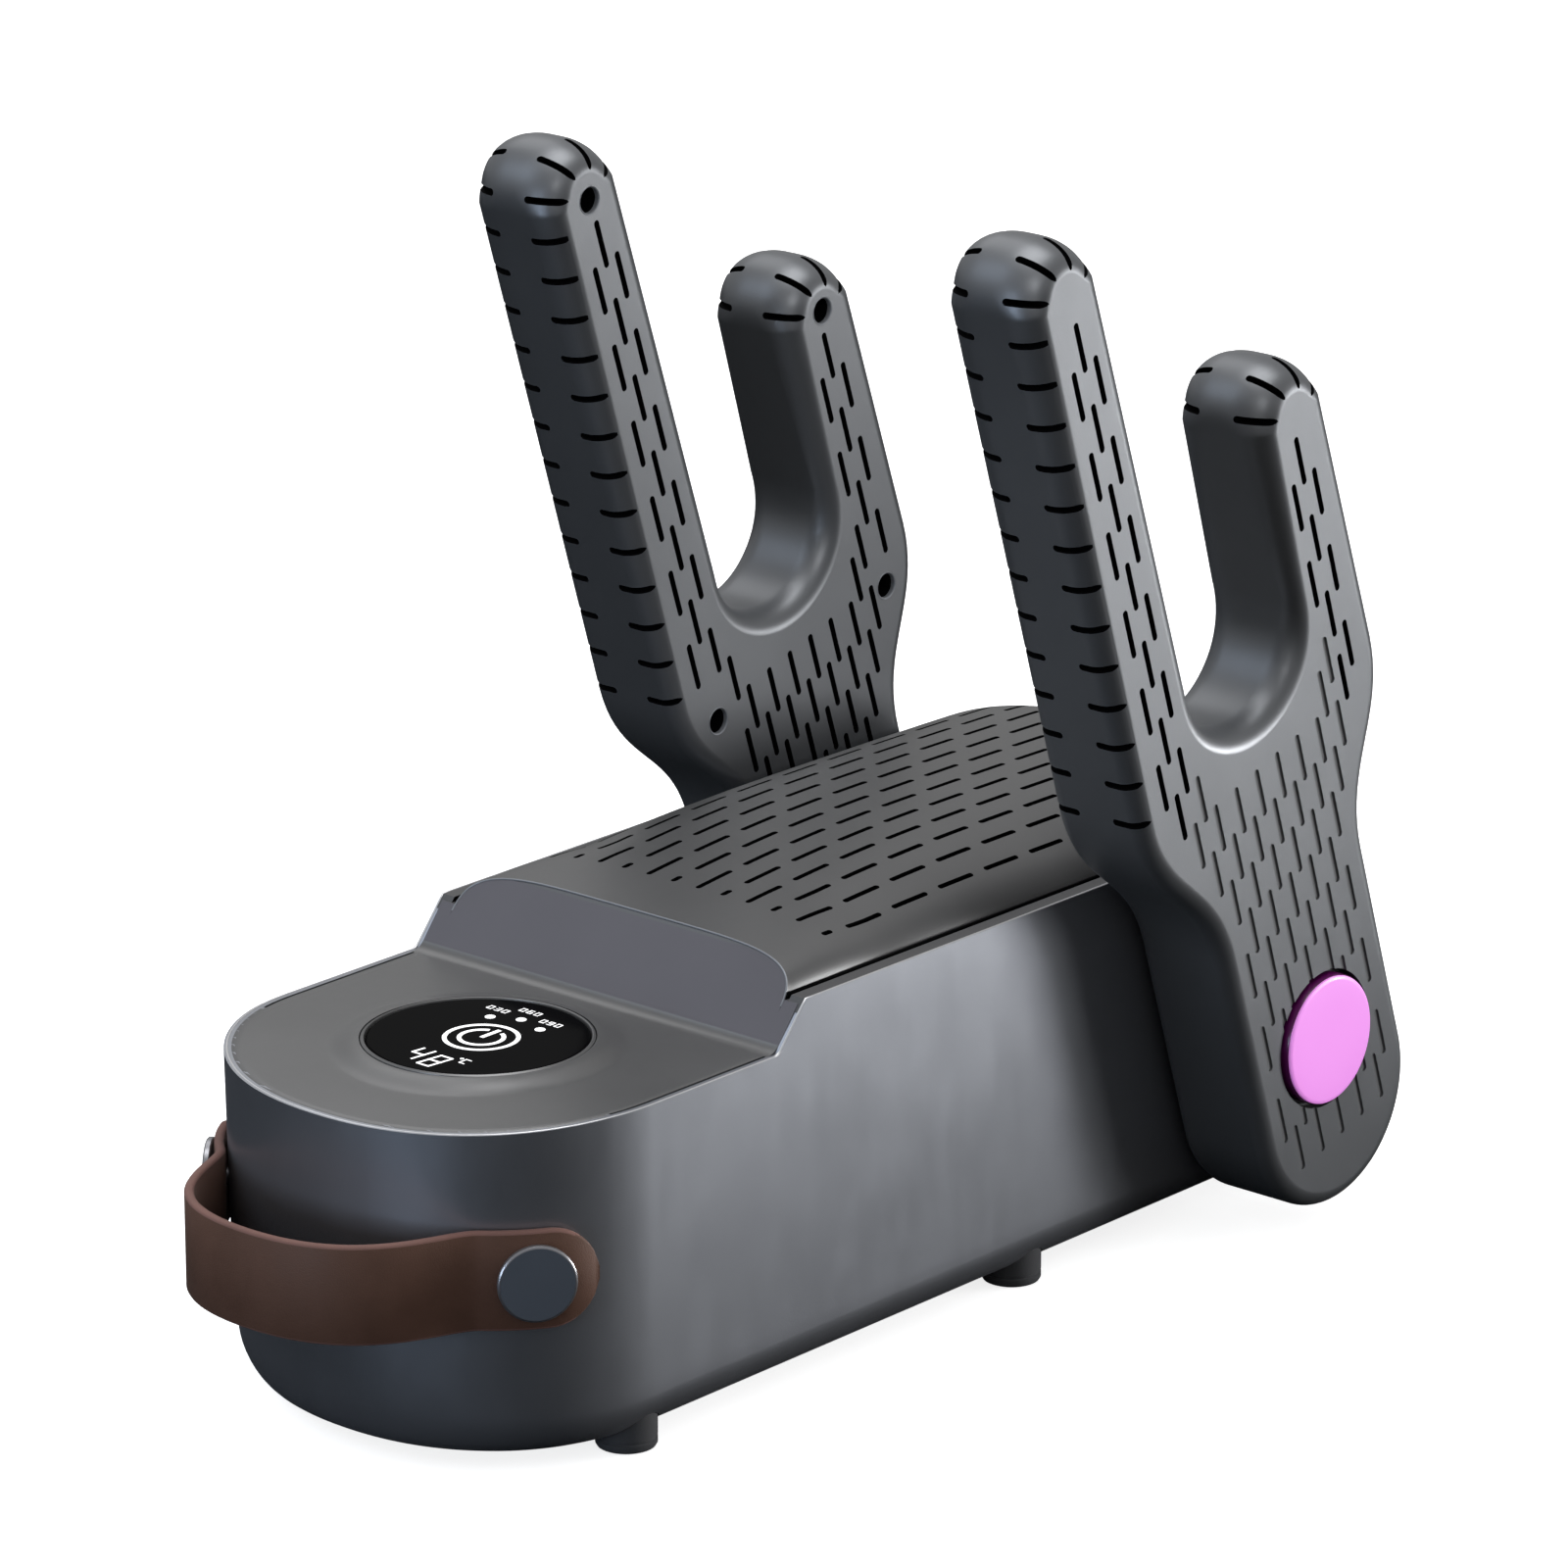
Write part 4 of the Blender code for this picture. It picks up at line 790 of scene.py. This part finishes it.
def make_display():
    top = DECK_TOP + COLLAR_RISE
    centre = at(DISPLAY.x, DISPLAY.y)
    hole, outside = LENS_RADIUS + 0.0002, LENS_RADIUS + 0.0012
    bezel = [(hole, top - 0.0006), (hole + 0.0002, top - 0.0001), ((hole + outside) / 2, top),
             (outside, top - 0.0003), (outside + 0.0002, top - 0.0012), (outside, top - 0.006),
             (hole - 0.002, top - 0.006), (hole, top - 0.003)]
    ring = moved(turned(bezel, 128, wrap=True), centre)
    piece("lens_ring", ring, DECK, "body", "body_plastic", "display_bezel")
    glass = [(LENS_RADIUS, top - 0.0028), (LENS_RADIUS, top - 0.0007), (LENS_RADIUS - 0.0005, top - 0.0003)]
    lens = moved(turned(glass, 128), centre)
    piece("lens", lens, GLASS, "body", "display_glass", "display_lens")
    make_marks(top - 0.0003)


def bar(a, b, width, z):
    """Flat printed line from a to b."""
    start, end = Vector((*a, 0)), Vector((*b, 0))
    along = (end - start).normalized()
    side = Vector((-along.y, along.x, 0)) * width / 2
    start, end = start - along * width * 0.2, end + along * width * 0.2
    outline = [(p.x, p.y) for p in (start + side, start - side, end - side, end + side)]
    return prism(outline, z - PRINT_SUNK, z + PRINT_PROUD)


def part_ring(x, y, radius, width, z, first=0, last=360, steps=48):
    """Flat printed ring, or part of one."""
    whole = last - first >= 360
    angles = [radians(first + (last - first) * i / steps) for i in range(steps if whole else steps + 1)]
    section = [(radius, -PRINT_SUNK), (radius + width, -PRINT_SUNK), (radius + width, PRINT_PROUD),
               (radius, PRINT_PROUD)]
    rings = [[(x + r * cos(a), y + r * sin(a), z + h) for r, h in section] for a in angles]
    return loft(rings, wrap=whole)


SEGMENTS = {"0": "abcdef", "3": "abgcd", "4": "fgbc", "6": "afgedc", "8": "abcdefg", "9": "abcdfg",
            "C": "afed"}


def glyph(name, x, y, width, height, thick, z, lean=0.0):
    """Seven-segment figure with its lower left corner at x, y."""
    def p(u, v):
        return x + u * width + lean * v * height, y + v * height

    ends = {"a": ((0, 1), (1, 1)), "b": ((1, 1), (1, 0.5)), "c": ((1, 0.5), (1, 0)), "d": ((0, 0), (1, 0)),
            "e": ((0, 0), (0, 0.5)), "f": ((0, 0.5), (0, 1)), "g": ((0, 0.5), (1, 0.5))}
    return [bar(p(*ends[s][0]), p(*ends[s][1]), thick, z) for s in SEGMENTS[name]]


def make_marks(z):
    """Back-lit markings, read from the front: power ring, temperature, three timer steps."""
    x, y = 0.0011, -0.0872
    outer, inner, line, gap_start, gap_end = 0.0083, 0.0048, 0.0011, 112, 428
    large, unit, small = (0.0036, 0.0074, 0.0006), (0.0016, 0.0026, 0.0003), (0.0013, 0.0019, 0.0002)
    lean, figure_pitch, dot_radius = 0.12, 0.0024, 0.0013
    marks = [part_ring(x, y, outer, line, z, steps=96),
             part_ring(x, y, inner, line, z, gap_start, gap_end, 72),
             bar((x, y + 0.0002), (x, y + 0.0062), 0.0012, z)]
    for figure, left, low_end in (("4", -0.0047, -0.1090), ("8", 0.0019, -0.1102)):
        marks += glyph(figure, left, low_end, *large, z, lean)
    marks += glyph("C", 0.0092, -0.1035, *unit, z)
    marks.append(part_ring(0.0080, -0.1012, 0.0003, 0.0002, z, steps=20))
    dot = rod(dot_radius, z - PRINT_SUNK, z + PRINT_PROUD, 32)
    for where in ((-0.0073, -0.0752), (-0.0003, -0.0718), (0.0079, -0.0740)):
        marks.append(moved(dot, at(*where)))
    steps = (("030", -0.0125, -0.0710), ("060", -0.0052, -0.0674), ("090", 0.0040, -0.0702))
    for text, left, low_end in steps:
        for i, figure in enumerate(text):
            marks += glyph(figure, left + figure_pitch * i, low_end, *small, z)
    piece("lens_marks", joined(marks), MARKS, "body", "display_glass")


# --- base, strap, hinge, inlet

def make_feet():
    r, skin = FOOT_RADIUS, FOOT_RADIUS - 0.0003
    profile = [(r * 0.45, 0.0007), (r * 0.45, 0.0), (r - 0.0011, 0.0), (r - 0.0004, 0.0003), (r, 0.0010),
               (r, 0.0022), (skin, 0.0024), (skin, 0.0029), (r, 0.0031), (r, FOOT_TOP)]
    for node in FEET:
        foot = middle(node)
        pad = moved(turned(profile, 64), at(foot.x, foot.y))
        piece(f"{node}_pad", pad, RUBBER, "body", "foot_rubber", node)


def bezier(a, b, c, d, steps):
    for i in range(1, steps + 1):
        t = i / steps
        s = 1 - t
        shares = (s**3, 3 * s * s * t, 3 * s * t * t, t**3)
        yield tuple(sum(k * p for k, p in zip(shares, ends)) for ends in zip(a, b, c, d))


def strap_line():
    out, front = GAP + STRAP_THICK / 2, STRAP_FRONT + STRAP_THICK / 2
    right = []
    for i in range(25):
        y = STRAP_TIP + (STRAP_LEAVES - STRAP_TIP) * i / 24
        right.append((plan_half_width(y, -out), y))
    x, y = right[-1]
    right += list(bezier((x, y), (x - 0.0065, y - 0.006), (STRAP_SPREAD, front), (0.0, front), 44))
    return right + [(-x, y) for x, y in right[-2::-1]]


def fine_line(line, step):
    """The same line with points every step of its length."""
    points = [Vector((x, y, 0)) for x, y in line]
    lengths = [0.0]
    for a, b in zip(points, points[1:]):
        lengths.append(lengths[-1] + (b - a).length)
    count = round(lengths[-1] / step)
    made, index = [], 0
    for i in range(count + 1):
        goal = lengths[-1] * i / count
        while index < len(points) - 2 and lengths[index + 1] < goal:
            index += 1
        part = (goal - lengths[index]) / (lengths[index + 1] - lengths[index])
        made.append((points[index].lerp(points[index + 1], part), min(goal, lengths[-1] - goal)))
    return made


def make_strap():
    """Band with burnished, slightly rounded edges and half-round ends."""
    line = fine_line(strap_line(), 0.0012)
    rings = []
    for i, (point, inward) in enumerate(line):
        before, after = line[max(0, i - 1)][0], line[min(len(line) - 1, i + 1)][0]
        out = (after - before).normalized().cross(Vector((0, 0, 1))) * -1
        past = max(0.0, 1 - (inward + 0.0002) / STRAP_HALF)
        tall = STRAP_HALF * sqrt(max(0.0006, 1 - past * past))
        thick = STRAP_THICK / 2
        edge = min(0.0007, tall / 3)
        section = []
        for across_sign, up_sign in ((1, 1), (1, -1), (-1, -1), (-1, 1)):
            corner = [(thick, tall - edge), (thick - 0.0003, tall - edge * 0.3), (thick - 0.0007, tall)]
            if across_sign * up_sign > 0:
                corner = corner[::-1]
            section += [(across_sign * a, up_sign * b) for a, b in corner]
        rings.append([point + out * a + Vector((0, 0, STRAP_Z + b)) for a, b in section])
    strap = make("strap_band", loft(rings), HIDE, HIDE_EDGE, sharp=60)
    for face in strap.data.polygons:
        if len(face.vertices) == 4:
            spread = [abs(strap.data.vertices[v].co.z - STRAP_Z) for v in face.vertices]
            along_edge = max(spread) - min(spread) < 0.0011 and abs(face.normal.z) > 0.25
            face.material_index = 1 if along_edge else 0
    place(strap, "body", "strap_leather", "strap")


def make_rivets():
    base, top, r, shank, bevel = STRAP_THICK + 4 * GAP, RIVET_TOP, RIVET_RADIUS, 0.0022, 0.0003
    head = [(shank, base - 0.0040), (shank, base), (r - bevel, base), (r, base + bevel),
            (r, top - 0.0004), (r - 0.0003, top - 0.0001), (r - 0.0005, top)]
    dome = [(r - 0.0005, top - 0.0004), (r - 0.0005, top - 0.0001), (r - 0.0006, top),
            (r * 0.6, top + 0.00006), (r * 0.2, top + 0.0001)]
    for side, name in SIDES:
        where = rivet_matrix(side)
        rim, face = moved(turned(head), where), moved(turned(dome), where)
        piece(f"rivet_rim_{name}", rim, RIVET_RIM, "body", "rivet_metal", f"strap_rivet_{name}")
        piece(f"rivet_face_{name}", face, RIVET, "body", "rivet_metal")


def make_collars():
    outer, inner, start, face = 0.022, TUBE_RADIUS + 0.0002, 0.0566, ARM_INNER - 0.0004
    wall, bevel, rounding = HALF_WIDTH + GAP, 0.0003, 0.0005
    profile = [(inner, start), (BUSH_NECK, start), (BUSH_NECK, wall), (outer - bevel, wall),
               (outer, wall + bevel), (outer, face - rounding), (outer - rounding, face), (inner, face)]
    for side, name in SIDES:
        collar = moved(turned(profile, wrap=True), at(0, PIVOT.y, PIVOT.z) @ along_x(side))
        piece(f"hinge_collar_{name}", collar, BLACK_PLASTIC, "body", "black_plastic", f"hinge_bush_{name}")


def make_inlet():
    """Two-pin inlet: rim, body and a figure-of-eight socket round the pins."""
    lo, hi = low("power_inlet"), high("power_inlet")
    half_x, half_z, z = (hi.x - lo.x) / 2, (hi.z - lo.z) / 2, (hi.z + lo.z) / 2
    corner, bottom, socket, slit = 0.0016, hi.y - 0.0135, 0.0036, (0.0050, 0.0022)

    def ring(y, shrink):
        outline = []
        for cx, cz, first in ((1, 1, 0), (-1, 1, 90), (-1, -1, 180), (1, -1, 270)):
            centre_x, centre_z = cx * (half_x - shrink - corner), cz * (half_z - shrink - corner)
            outline += arc(centre_x, centre_z, corner, first, first + 90, 6)
        return [(x, y, z + dz) for x, dz in outline]

    rings = [ring(lo.y, 0.0002), ring(hi.y - 0.0006, 0.0), ring(hi.y - 0.0002, 0.0002), ring(hi.y, 0.0006)]
    inlet = make("inlet", loft(rings), BLACK_PLASTIC)
    pin_x = high("inlet_pin_right").x - 0.0012
    back = Matrix.Rotation(-pi / 2, 4, "X")
    # The socket recesses are cut in near-black: painted shade inside them.
    for side, _ in SIDES:
        carve(inlet, moved(rod(socket, 0, 0.03, 40), at(side * pin_x * 0.8, bottom, z) @ back), SHADE_BLACK)
    carve(inlet, block((-slit[0], bottom, z - slit[1]), (slit[0], hi.y + 0.01, z + slit[1])), SHADE_BLACK)
    place(inlet, "body", "black_plastic", "power_inlet")


# --- arms

def arm_matrix(side):
    """From the arm's own axes (back, up, outwards from its middle plane) to the row frame."""
    lean = at(0, PIVOT.y, PIVOT.z) @ Matrix.Rotation(LEAN, 4, "X")
    turn = Matrix(((0, 0, side, side * ARM_MIDDLE), (1, 0, 0, 0), (0, 1, 0, 0), (0, 0, 0, 1)))
    return lean @ turn


def fork_outline():
    shoulder = list(bezier((STEM_HALF, SHOULDER_LOW), (STEM_HALF, SHOULDER_LOW + SHOULDER_EASE),
                           (FORK_HALF, SHOULDER_HIGH - SHOULDER_EASE), (FORK_HALF, SHOULDER_HIGH), 20))
    prong = FORK_HALF - PRONG_RADIUS
    outline = arc(0, STEM_END, STEM_HALF, 180, 360, 56)
    outline += [(STEM_HALF, SHOULDER_LOW)] + shoulder
    outline += arc(prong, SHORT_END, PRONG_RADIUS, 0, 180, 36)
    outline += arc(0, GAP_CENTRE, GAP_RADIUS, 360, 180, 40)
    outline += arc(-prong, LONG_END, PRONG_RADIUS, 0, 180, 36)
    outline += [(-v, u) for v, u in reversed(shoulder)] + [(-STEM_HALF, SHOULDER_LOW)]
    return outline


def inset_outline(outline, insets):
    """Moves every point of a closed counter-clockwise outline inwards by its own amount."""
    made = []
    for i, (here, inset) in enumerate(zip(outline, insets)):
        here = Vector(here)
        before, after = Vector(outline[i - 1]), Vector(outline[(i + 1) % len(outline)])
        first, second = (here - before).normalized(), (after - here).normalized()
        inward = (Vector((-first.y, first.x)) + Vector((-second.y, second.x))).normalized()
        made.append(here + inward * inset / max(0.5, inward.dot(Vector((-first.y, first.x)))))
    return made


def clearance(point, outline):
    """Distance from a point to the outline, below zero outside it."""
    px, py = point
    nearest, inside = 1.0, False
    for (x0, y0), (x1, y1) in zip(outline, outline[1:] + outline[:1]):
        ex, ey = x1 - x0, y1 - y0
        t = max(0.0, min(1.0, ((px - x0) * ex + (py - y0) * ey) / (ex * ex + ey * ey)))
        nearest = min(nearest, hypot(px - x0 - t * ex, py - y0 - t * ey))
        if (y0 > py) != (y1 > py) and px < x0 + (py - y0) * ex / ey:
            inside = not inside
    return nearest if inside else -nearest


def slot_places(outline):
    """(v, middle u, deep on the outer face) of each slot in the brick pattern of the side faces."""
    places = []
    for k in range(25):
        v = FIRST_COLUMN + COLUMN_PITCH * k
        if v < 0:
            deep_from = DEEP_FRONT_EDGE if k <= 2 else DEEP_FRONT
        else:
            deep_from = DEEP_REAR_EDGE if k >= 17 else DEEP_REAR
        for row in range(13):
            u = SLOT_TOPS[k % 2] - SLOT_PITCH * row
            if v > 0 and u > SHIFT_ABOVE:
                u -= SLOT_SHIFT
            ends = [(v, u), (v, u - SLOT_LENGTH)]
            if all(clearance(end, outline) > SLOT_MARGIN for end in ends):
                places.append((v, u - SLOT_LENGTH / 2, u > deep_from))
    return places


def slot_fits(v, u, outward):
    """Whether a slot keeps clear of the coloured disc, or of the hinge tube and the screws."""
    if outward > 0:
        ends = (-SLOT_LENGTH / 2, SLOT_LENGTH / 2)
        return max(hypot(v, u + end) for end in ends) >= CAP_HOLE + CAP_CLEAR
    clear_of_tube = hypot(v, u) >= TUBE_RADIUS + SLOT_LENGTH / 2 + TUBE_CLEAR
    return clear_of_tube and all(abs(v - a) >= SCREW_CLEAR_V or abs(u - b) >= SCREW_CLEAR_U
                                 for a, b in ARM_SCREWS)


def cross_cutters(outward):
    """Short slots across the narrow edges, wrapping each corner."""
    middle_x = (CROSS_INNER + CROSS_OUTER) / 2
    shape = stadium(CROSS_OUTER - CROSS_INNER, SLOT_WIDTH)
    turn = Matrix.Rotation(pi / 2, 4, "Z")
    cutters = []

    def add(v, u, angle, depth):
        """Slot at a surface point whose outward direction makes this angle with -v, turning towards +u."""
        out = Vector((-cos(angle), sin(angle), 0))
        up = Vector((sin(angle), cos(angle), 0))
        third = (outward, 0, 0, outward * middle_x)
        axes = Matrix(((0, up.x, out.x, v), (0, up.y, out.y, u), third, (0, 0, 0, 1)))
        cutters.append(moved(moved(prism(shape, -depth, 0.0015), turn), axes))

    for row in range(1, CROSS_ROWS):
        add(-FORK_HALF, CROSS_TOP - CROSS_PITCH * row, 0.0, CROSS_DEPTH)
    for centre_v, centre_u in DOME_CENTRES:
        for angle in map(radians, DOME_ANGLES):
            v, u = centre_v - PRONG_RADIUS * cos(angle), centre_u + PRONG_RADIUS * sin(angle)
            add(v, u, angle, DOME_DEPTH)
    return cutters


def tip_share(point):
    """How far a point of the outline is rounded like a tip: 1 on a dome, less at the gap's foot, else 0."""
    v, u = point
    share, gap_share, gap_top, fade = 0.0, 0.45, GAP_CENTRE + 0.004, 0.02
    for centre_v, centre_u in DOME_CENTRES:
        if abs(v - centre_v) < PRONG_RADIUS + 0.001:
            share = max(share, smooth((u - centre_u + TIP_BLEND) / (2 * TIP_BLEND)))
    if abs(v) <= GAP_RADIUS + 0.0005 and GAP_CENTRE - GAP_RADIUS - 0.001 < u < gap_top:
        share = max(share, gap_share * smooth((gap_top - u) / fade))
    return share


def arm_half(outward):
    """Half an arm, in the arm's own axes. Its edge is tight along the prongs and full at their tips."""
    outline = fork_outline()
    shares = [tip_share(point) for point in outline]
    rings = [[(v, u, 0.0) for v, u in outline]]
    for i in range(13):
        angle = pi / 2 * i / 12
        s, c = sin(angle), cos(angle)
        insets = [(ARM_EDGE + (TIP_EDGE - ARM_EDGE) * share) * (1 - c) for share in shares]
        starts = [(ARM_HALF - ARM_EDGE) + (TIP_START - ARM_HALF + ARM_EDGE) * share for share in shares]
        flat = inset_outline(outline, insets)
        rings.append([(p.x, p.y, outward * (z + (ARM_HALF - z) * s)) for p, z in zip(flat, starts)])
    return loft(rings)


def make_arm(side, name):
    body, outline, matrix = f"arm_{name}", fork_outline(), arm_matrix(side)
    for outward, part in ((1, "outer"), (-1, "inner")):
        shell = make(f"arm_{part}_{name}", moved(arm_half(outward), matrix), ARM)
        slots, grooves = cross_cutters(outward), []
        for v, u, black in slot_places(outline):
            if not slot_fits(v, u, outward):
                continue
            deep = outward < 0 or black
            depth = SLOT_DEPTH if deep else GROOVE_DEPTH
            low_h, high_h = sorted((outward * (ARM_HALF - depth), outward * (ARM_HALF + OVERSHOOT)))
            cutter = moved(prism(stadium(SLOT_LENGTH, SLOT_WIDTH), low_h, high_h), at(v, u))
            (slots if deep else grooves).append(cutter)
        # Deep slots are cut in near-black: painted shade where the arm's inside would show.
        carve(shell, moved(joined(slots), matrix), SHADE_BLACK)
        if grooves:
            carve(shell, moved(joined(grooves), matrix), GROOVE)
            # The disc's seat is cut in black moulding colour: painted shade in the gap round the disc.
            seat = rod(CAP_HOLE, ARM_HALF - CAP_SUNK, ARM_HALF + 0.003, 96)
            carve(shell, moved(seat, matrix), BLACK_PLASTIC)
        else:
            # Screw holes and the tube's bore are cut in near-black: painted shade inside them.
            hole = rod(SCREW_HOLE, -ARM_HALF - OVERSHOOT, -ARM_HALF + SCREW_DEPTH, 40)
            holes = [moved(hole, at(v, u)) for v, u in ARM_SCREWS]
            holes.append(rod(TUBE_RADIUS + GAP, -ARM_HALF - OVERSHOOT, TUBE_STOP, 96))
            carve(shell, moved(joined(holes), matrix), SHADE_BLACK)
        place(weigh(shell), body, "arm_plastic", f"arm_{part}_shell_{name}")
    lip = [(-0.0002, 0.00005), (0.0001, -0.00012), (0.0004, 0.0003), (-0.0002, 0.0012)]
    lip = turned([(SCREW_HOLE + out, -ARM_HALF + up) for out, up in lip], 48, wrap=True)
    socket = turned([(0.0030, -0.0090), (0.0030, -0.0066), (0.0014, -0.0064), (0.0014, 0.0068)], 32)
    for number, (v, u) in enumerate(ARM_SCREWS, 1):
        where = matrix @ at(v, u)
        piece(f"screw_lip_{name}_{number}", moved(lip, where), LIP_GREY_AND_HIGHLIGHT, body, "arm_plastic")
        screw = f"screw_{name}_{number}"
        piece(screw, moved(socket, where), STEEL, body, "steel", f"arm_{screw}")
    make_cap(name, body, matrix)


def make_cap(name, body, matrix):
    top, r = ARM_HALF + CAP_PROUD, CAP_RADIUS
    wall = [(r - 0.0006, ARM_HALF - 0.0028), (r, ARM_HALF - 0.0026), (r, top - 0.0012),
            (r - 0.0002, top - 0.0007), (r - 0.0012, top - 0.0007)]
    wall = moved(turned(wall, 128), matrix)
    # The disc's side in near-black magenta: its own deeper colour with painted shade.
    piece(f"cap_wall_{name}", wall, PINK_EDGE_SHADE, body, "pink_cap", f"pivot_cap_{name}")
    disc = [(r - 0.0012, top - 0.0010), (r - 0.0003, top - 0.0007), (r - 0.0004, top - 0.0003),
            (r - 0.0009, top - 0.00004), (r - 0.0014, top - 0.00001), (r * 0.6, top)]
    piece(f"cap_disc_{name}", moved(turned(disc, 128), matrix), PINK, body, "pink_cap")


# --- studio

def stand(data, where, away):
    """Puts a light or a camera in the scene, looking away from the given direction."""
    obj = bpy.data.objects.new(data.name, data)
    bpy.context.scene.collection.objects.link(obj)
    obj.location = where
    obj.rotation_euler = Vector(away).to_track_quat("Z", "Y").to_euler()
    return obj


def lamp(name, where, size, watts, colour=(1, 1, 1)):
    light = bpy.data.lights.new(name, "AREA")
    light.energy, light.color, light.size = watts, colour, size
    stand(light, where, Vector(where) - Vector(AIM))


def spot(name, where, target, cone, watts):
    light = bpy.data.lights.new(name, "SPOT")
    light.energy, light.spot_size, light.spot_blend = watts, radians(cone), 1.0
    light.shadow_soft_size = 0.12
    stand(light, where, Vector(where) - Vector(target))


def make_studio():
    floor = make("floor", block((-30, -30, -0.02), (30, 30, 0.0)))
    g = Graph("studio_white")
    grain = g.noise(40, 4)
    g.link(g.mix(g.ramp(grain, 0, 1), rgb(0.86, 0.86, 0.86), rgb(0.89, 0.89, 0.89)), "Base Color")
    g.link(g.bump(grain, 0.02, 0.0002), "Normal")
    g.set(Roughness=0.9, Emission_Color=rgb(1, 1, 1), Emission_Strength=0.80)
    floor.data.materials.append(g.material)
    floor.visible_diffuse = floor.visible_glossy = False
    under = make("floor_under", block((-30, -30, -0.06), (30, 30, -0.04)), SHADE_BLACK)
    world = bpy.data.worlds.new("studio")
    world.use_nodes = True
    sky = world.node_tree.nodes["Background"].inputs
    sky["Color"].default_value = (1, 1, 1, 1)
    sky["Strength"].default_value = 0.44
    bpy.context.scene.world = world
    lamp("right_low", (0.8, 0.9, 0.12), 0.5, 6.8)
    spot("right_grazing", (0.55, 0.62, 0.06), (0.06, -0.10, 0.075), 24, 23.5)
    spot("left_inner", (0.30, -0.25, 0.45), (-0.06, 0.12, 0.17), 30, 3.2)
    lamp("top", (0.0, 0.1, 1.4), 0.8, 10.2)
    lamp("top_left", (-0.85, 0.45, 1.1), 0.6, 1.7)
    lamp("front_left", (-0.7, -0.8, 1.0), 0.7, 2.6, (0.72, 0.84, 1.0))
    lamp("front_low", (-0.02, -1.25, 0.17), 0.3, 3.4, (0.66, 0.80, 1.0))
    bpy.context.scene.view_settings.view_transform = "Standard"


def make_camera():
    camera = bpy.data.cameras.new("camera")
    camera.lens, camera.sensor_width, camera.clip_end = 183.9, 36.0, 100.0
    bpy.context.scene.camera = stand(camera, (1.2383, -1.3919, 0.7334), (0.62659, -0.71620, 0.30732))


finish_cad_nodes()
make_casing()
make_rim()
make_deck()
make_slope()
make_cover()
make_display()
make_feet()
make_strap()
make_rivets()
make_collars()
make_inlet()
for hand, label in ((1, "right"), (-1, "left")):
    make_arm(hand, label)
make_studio()
make_camera()
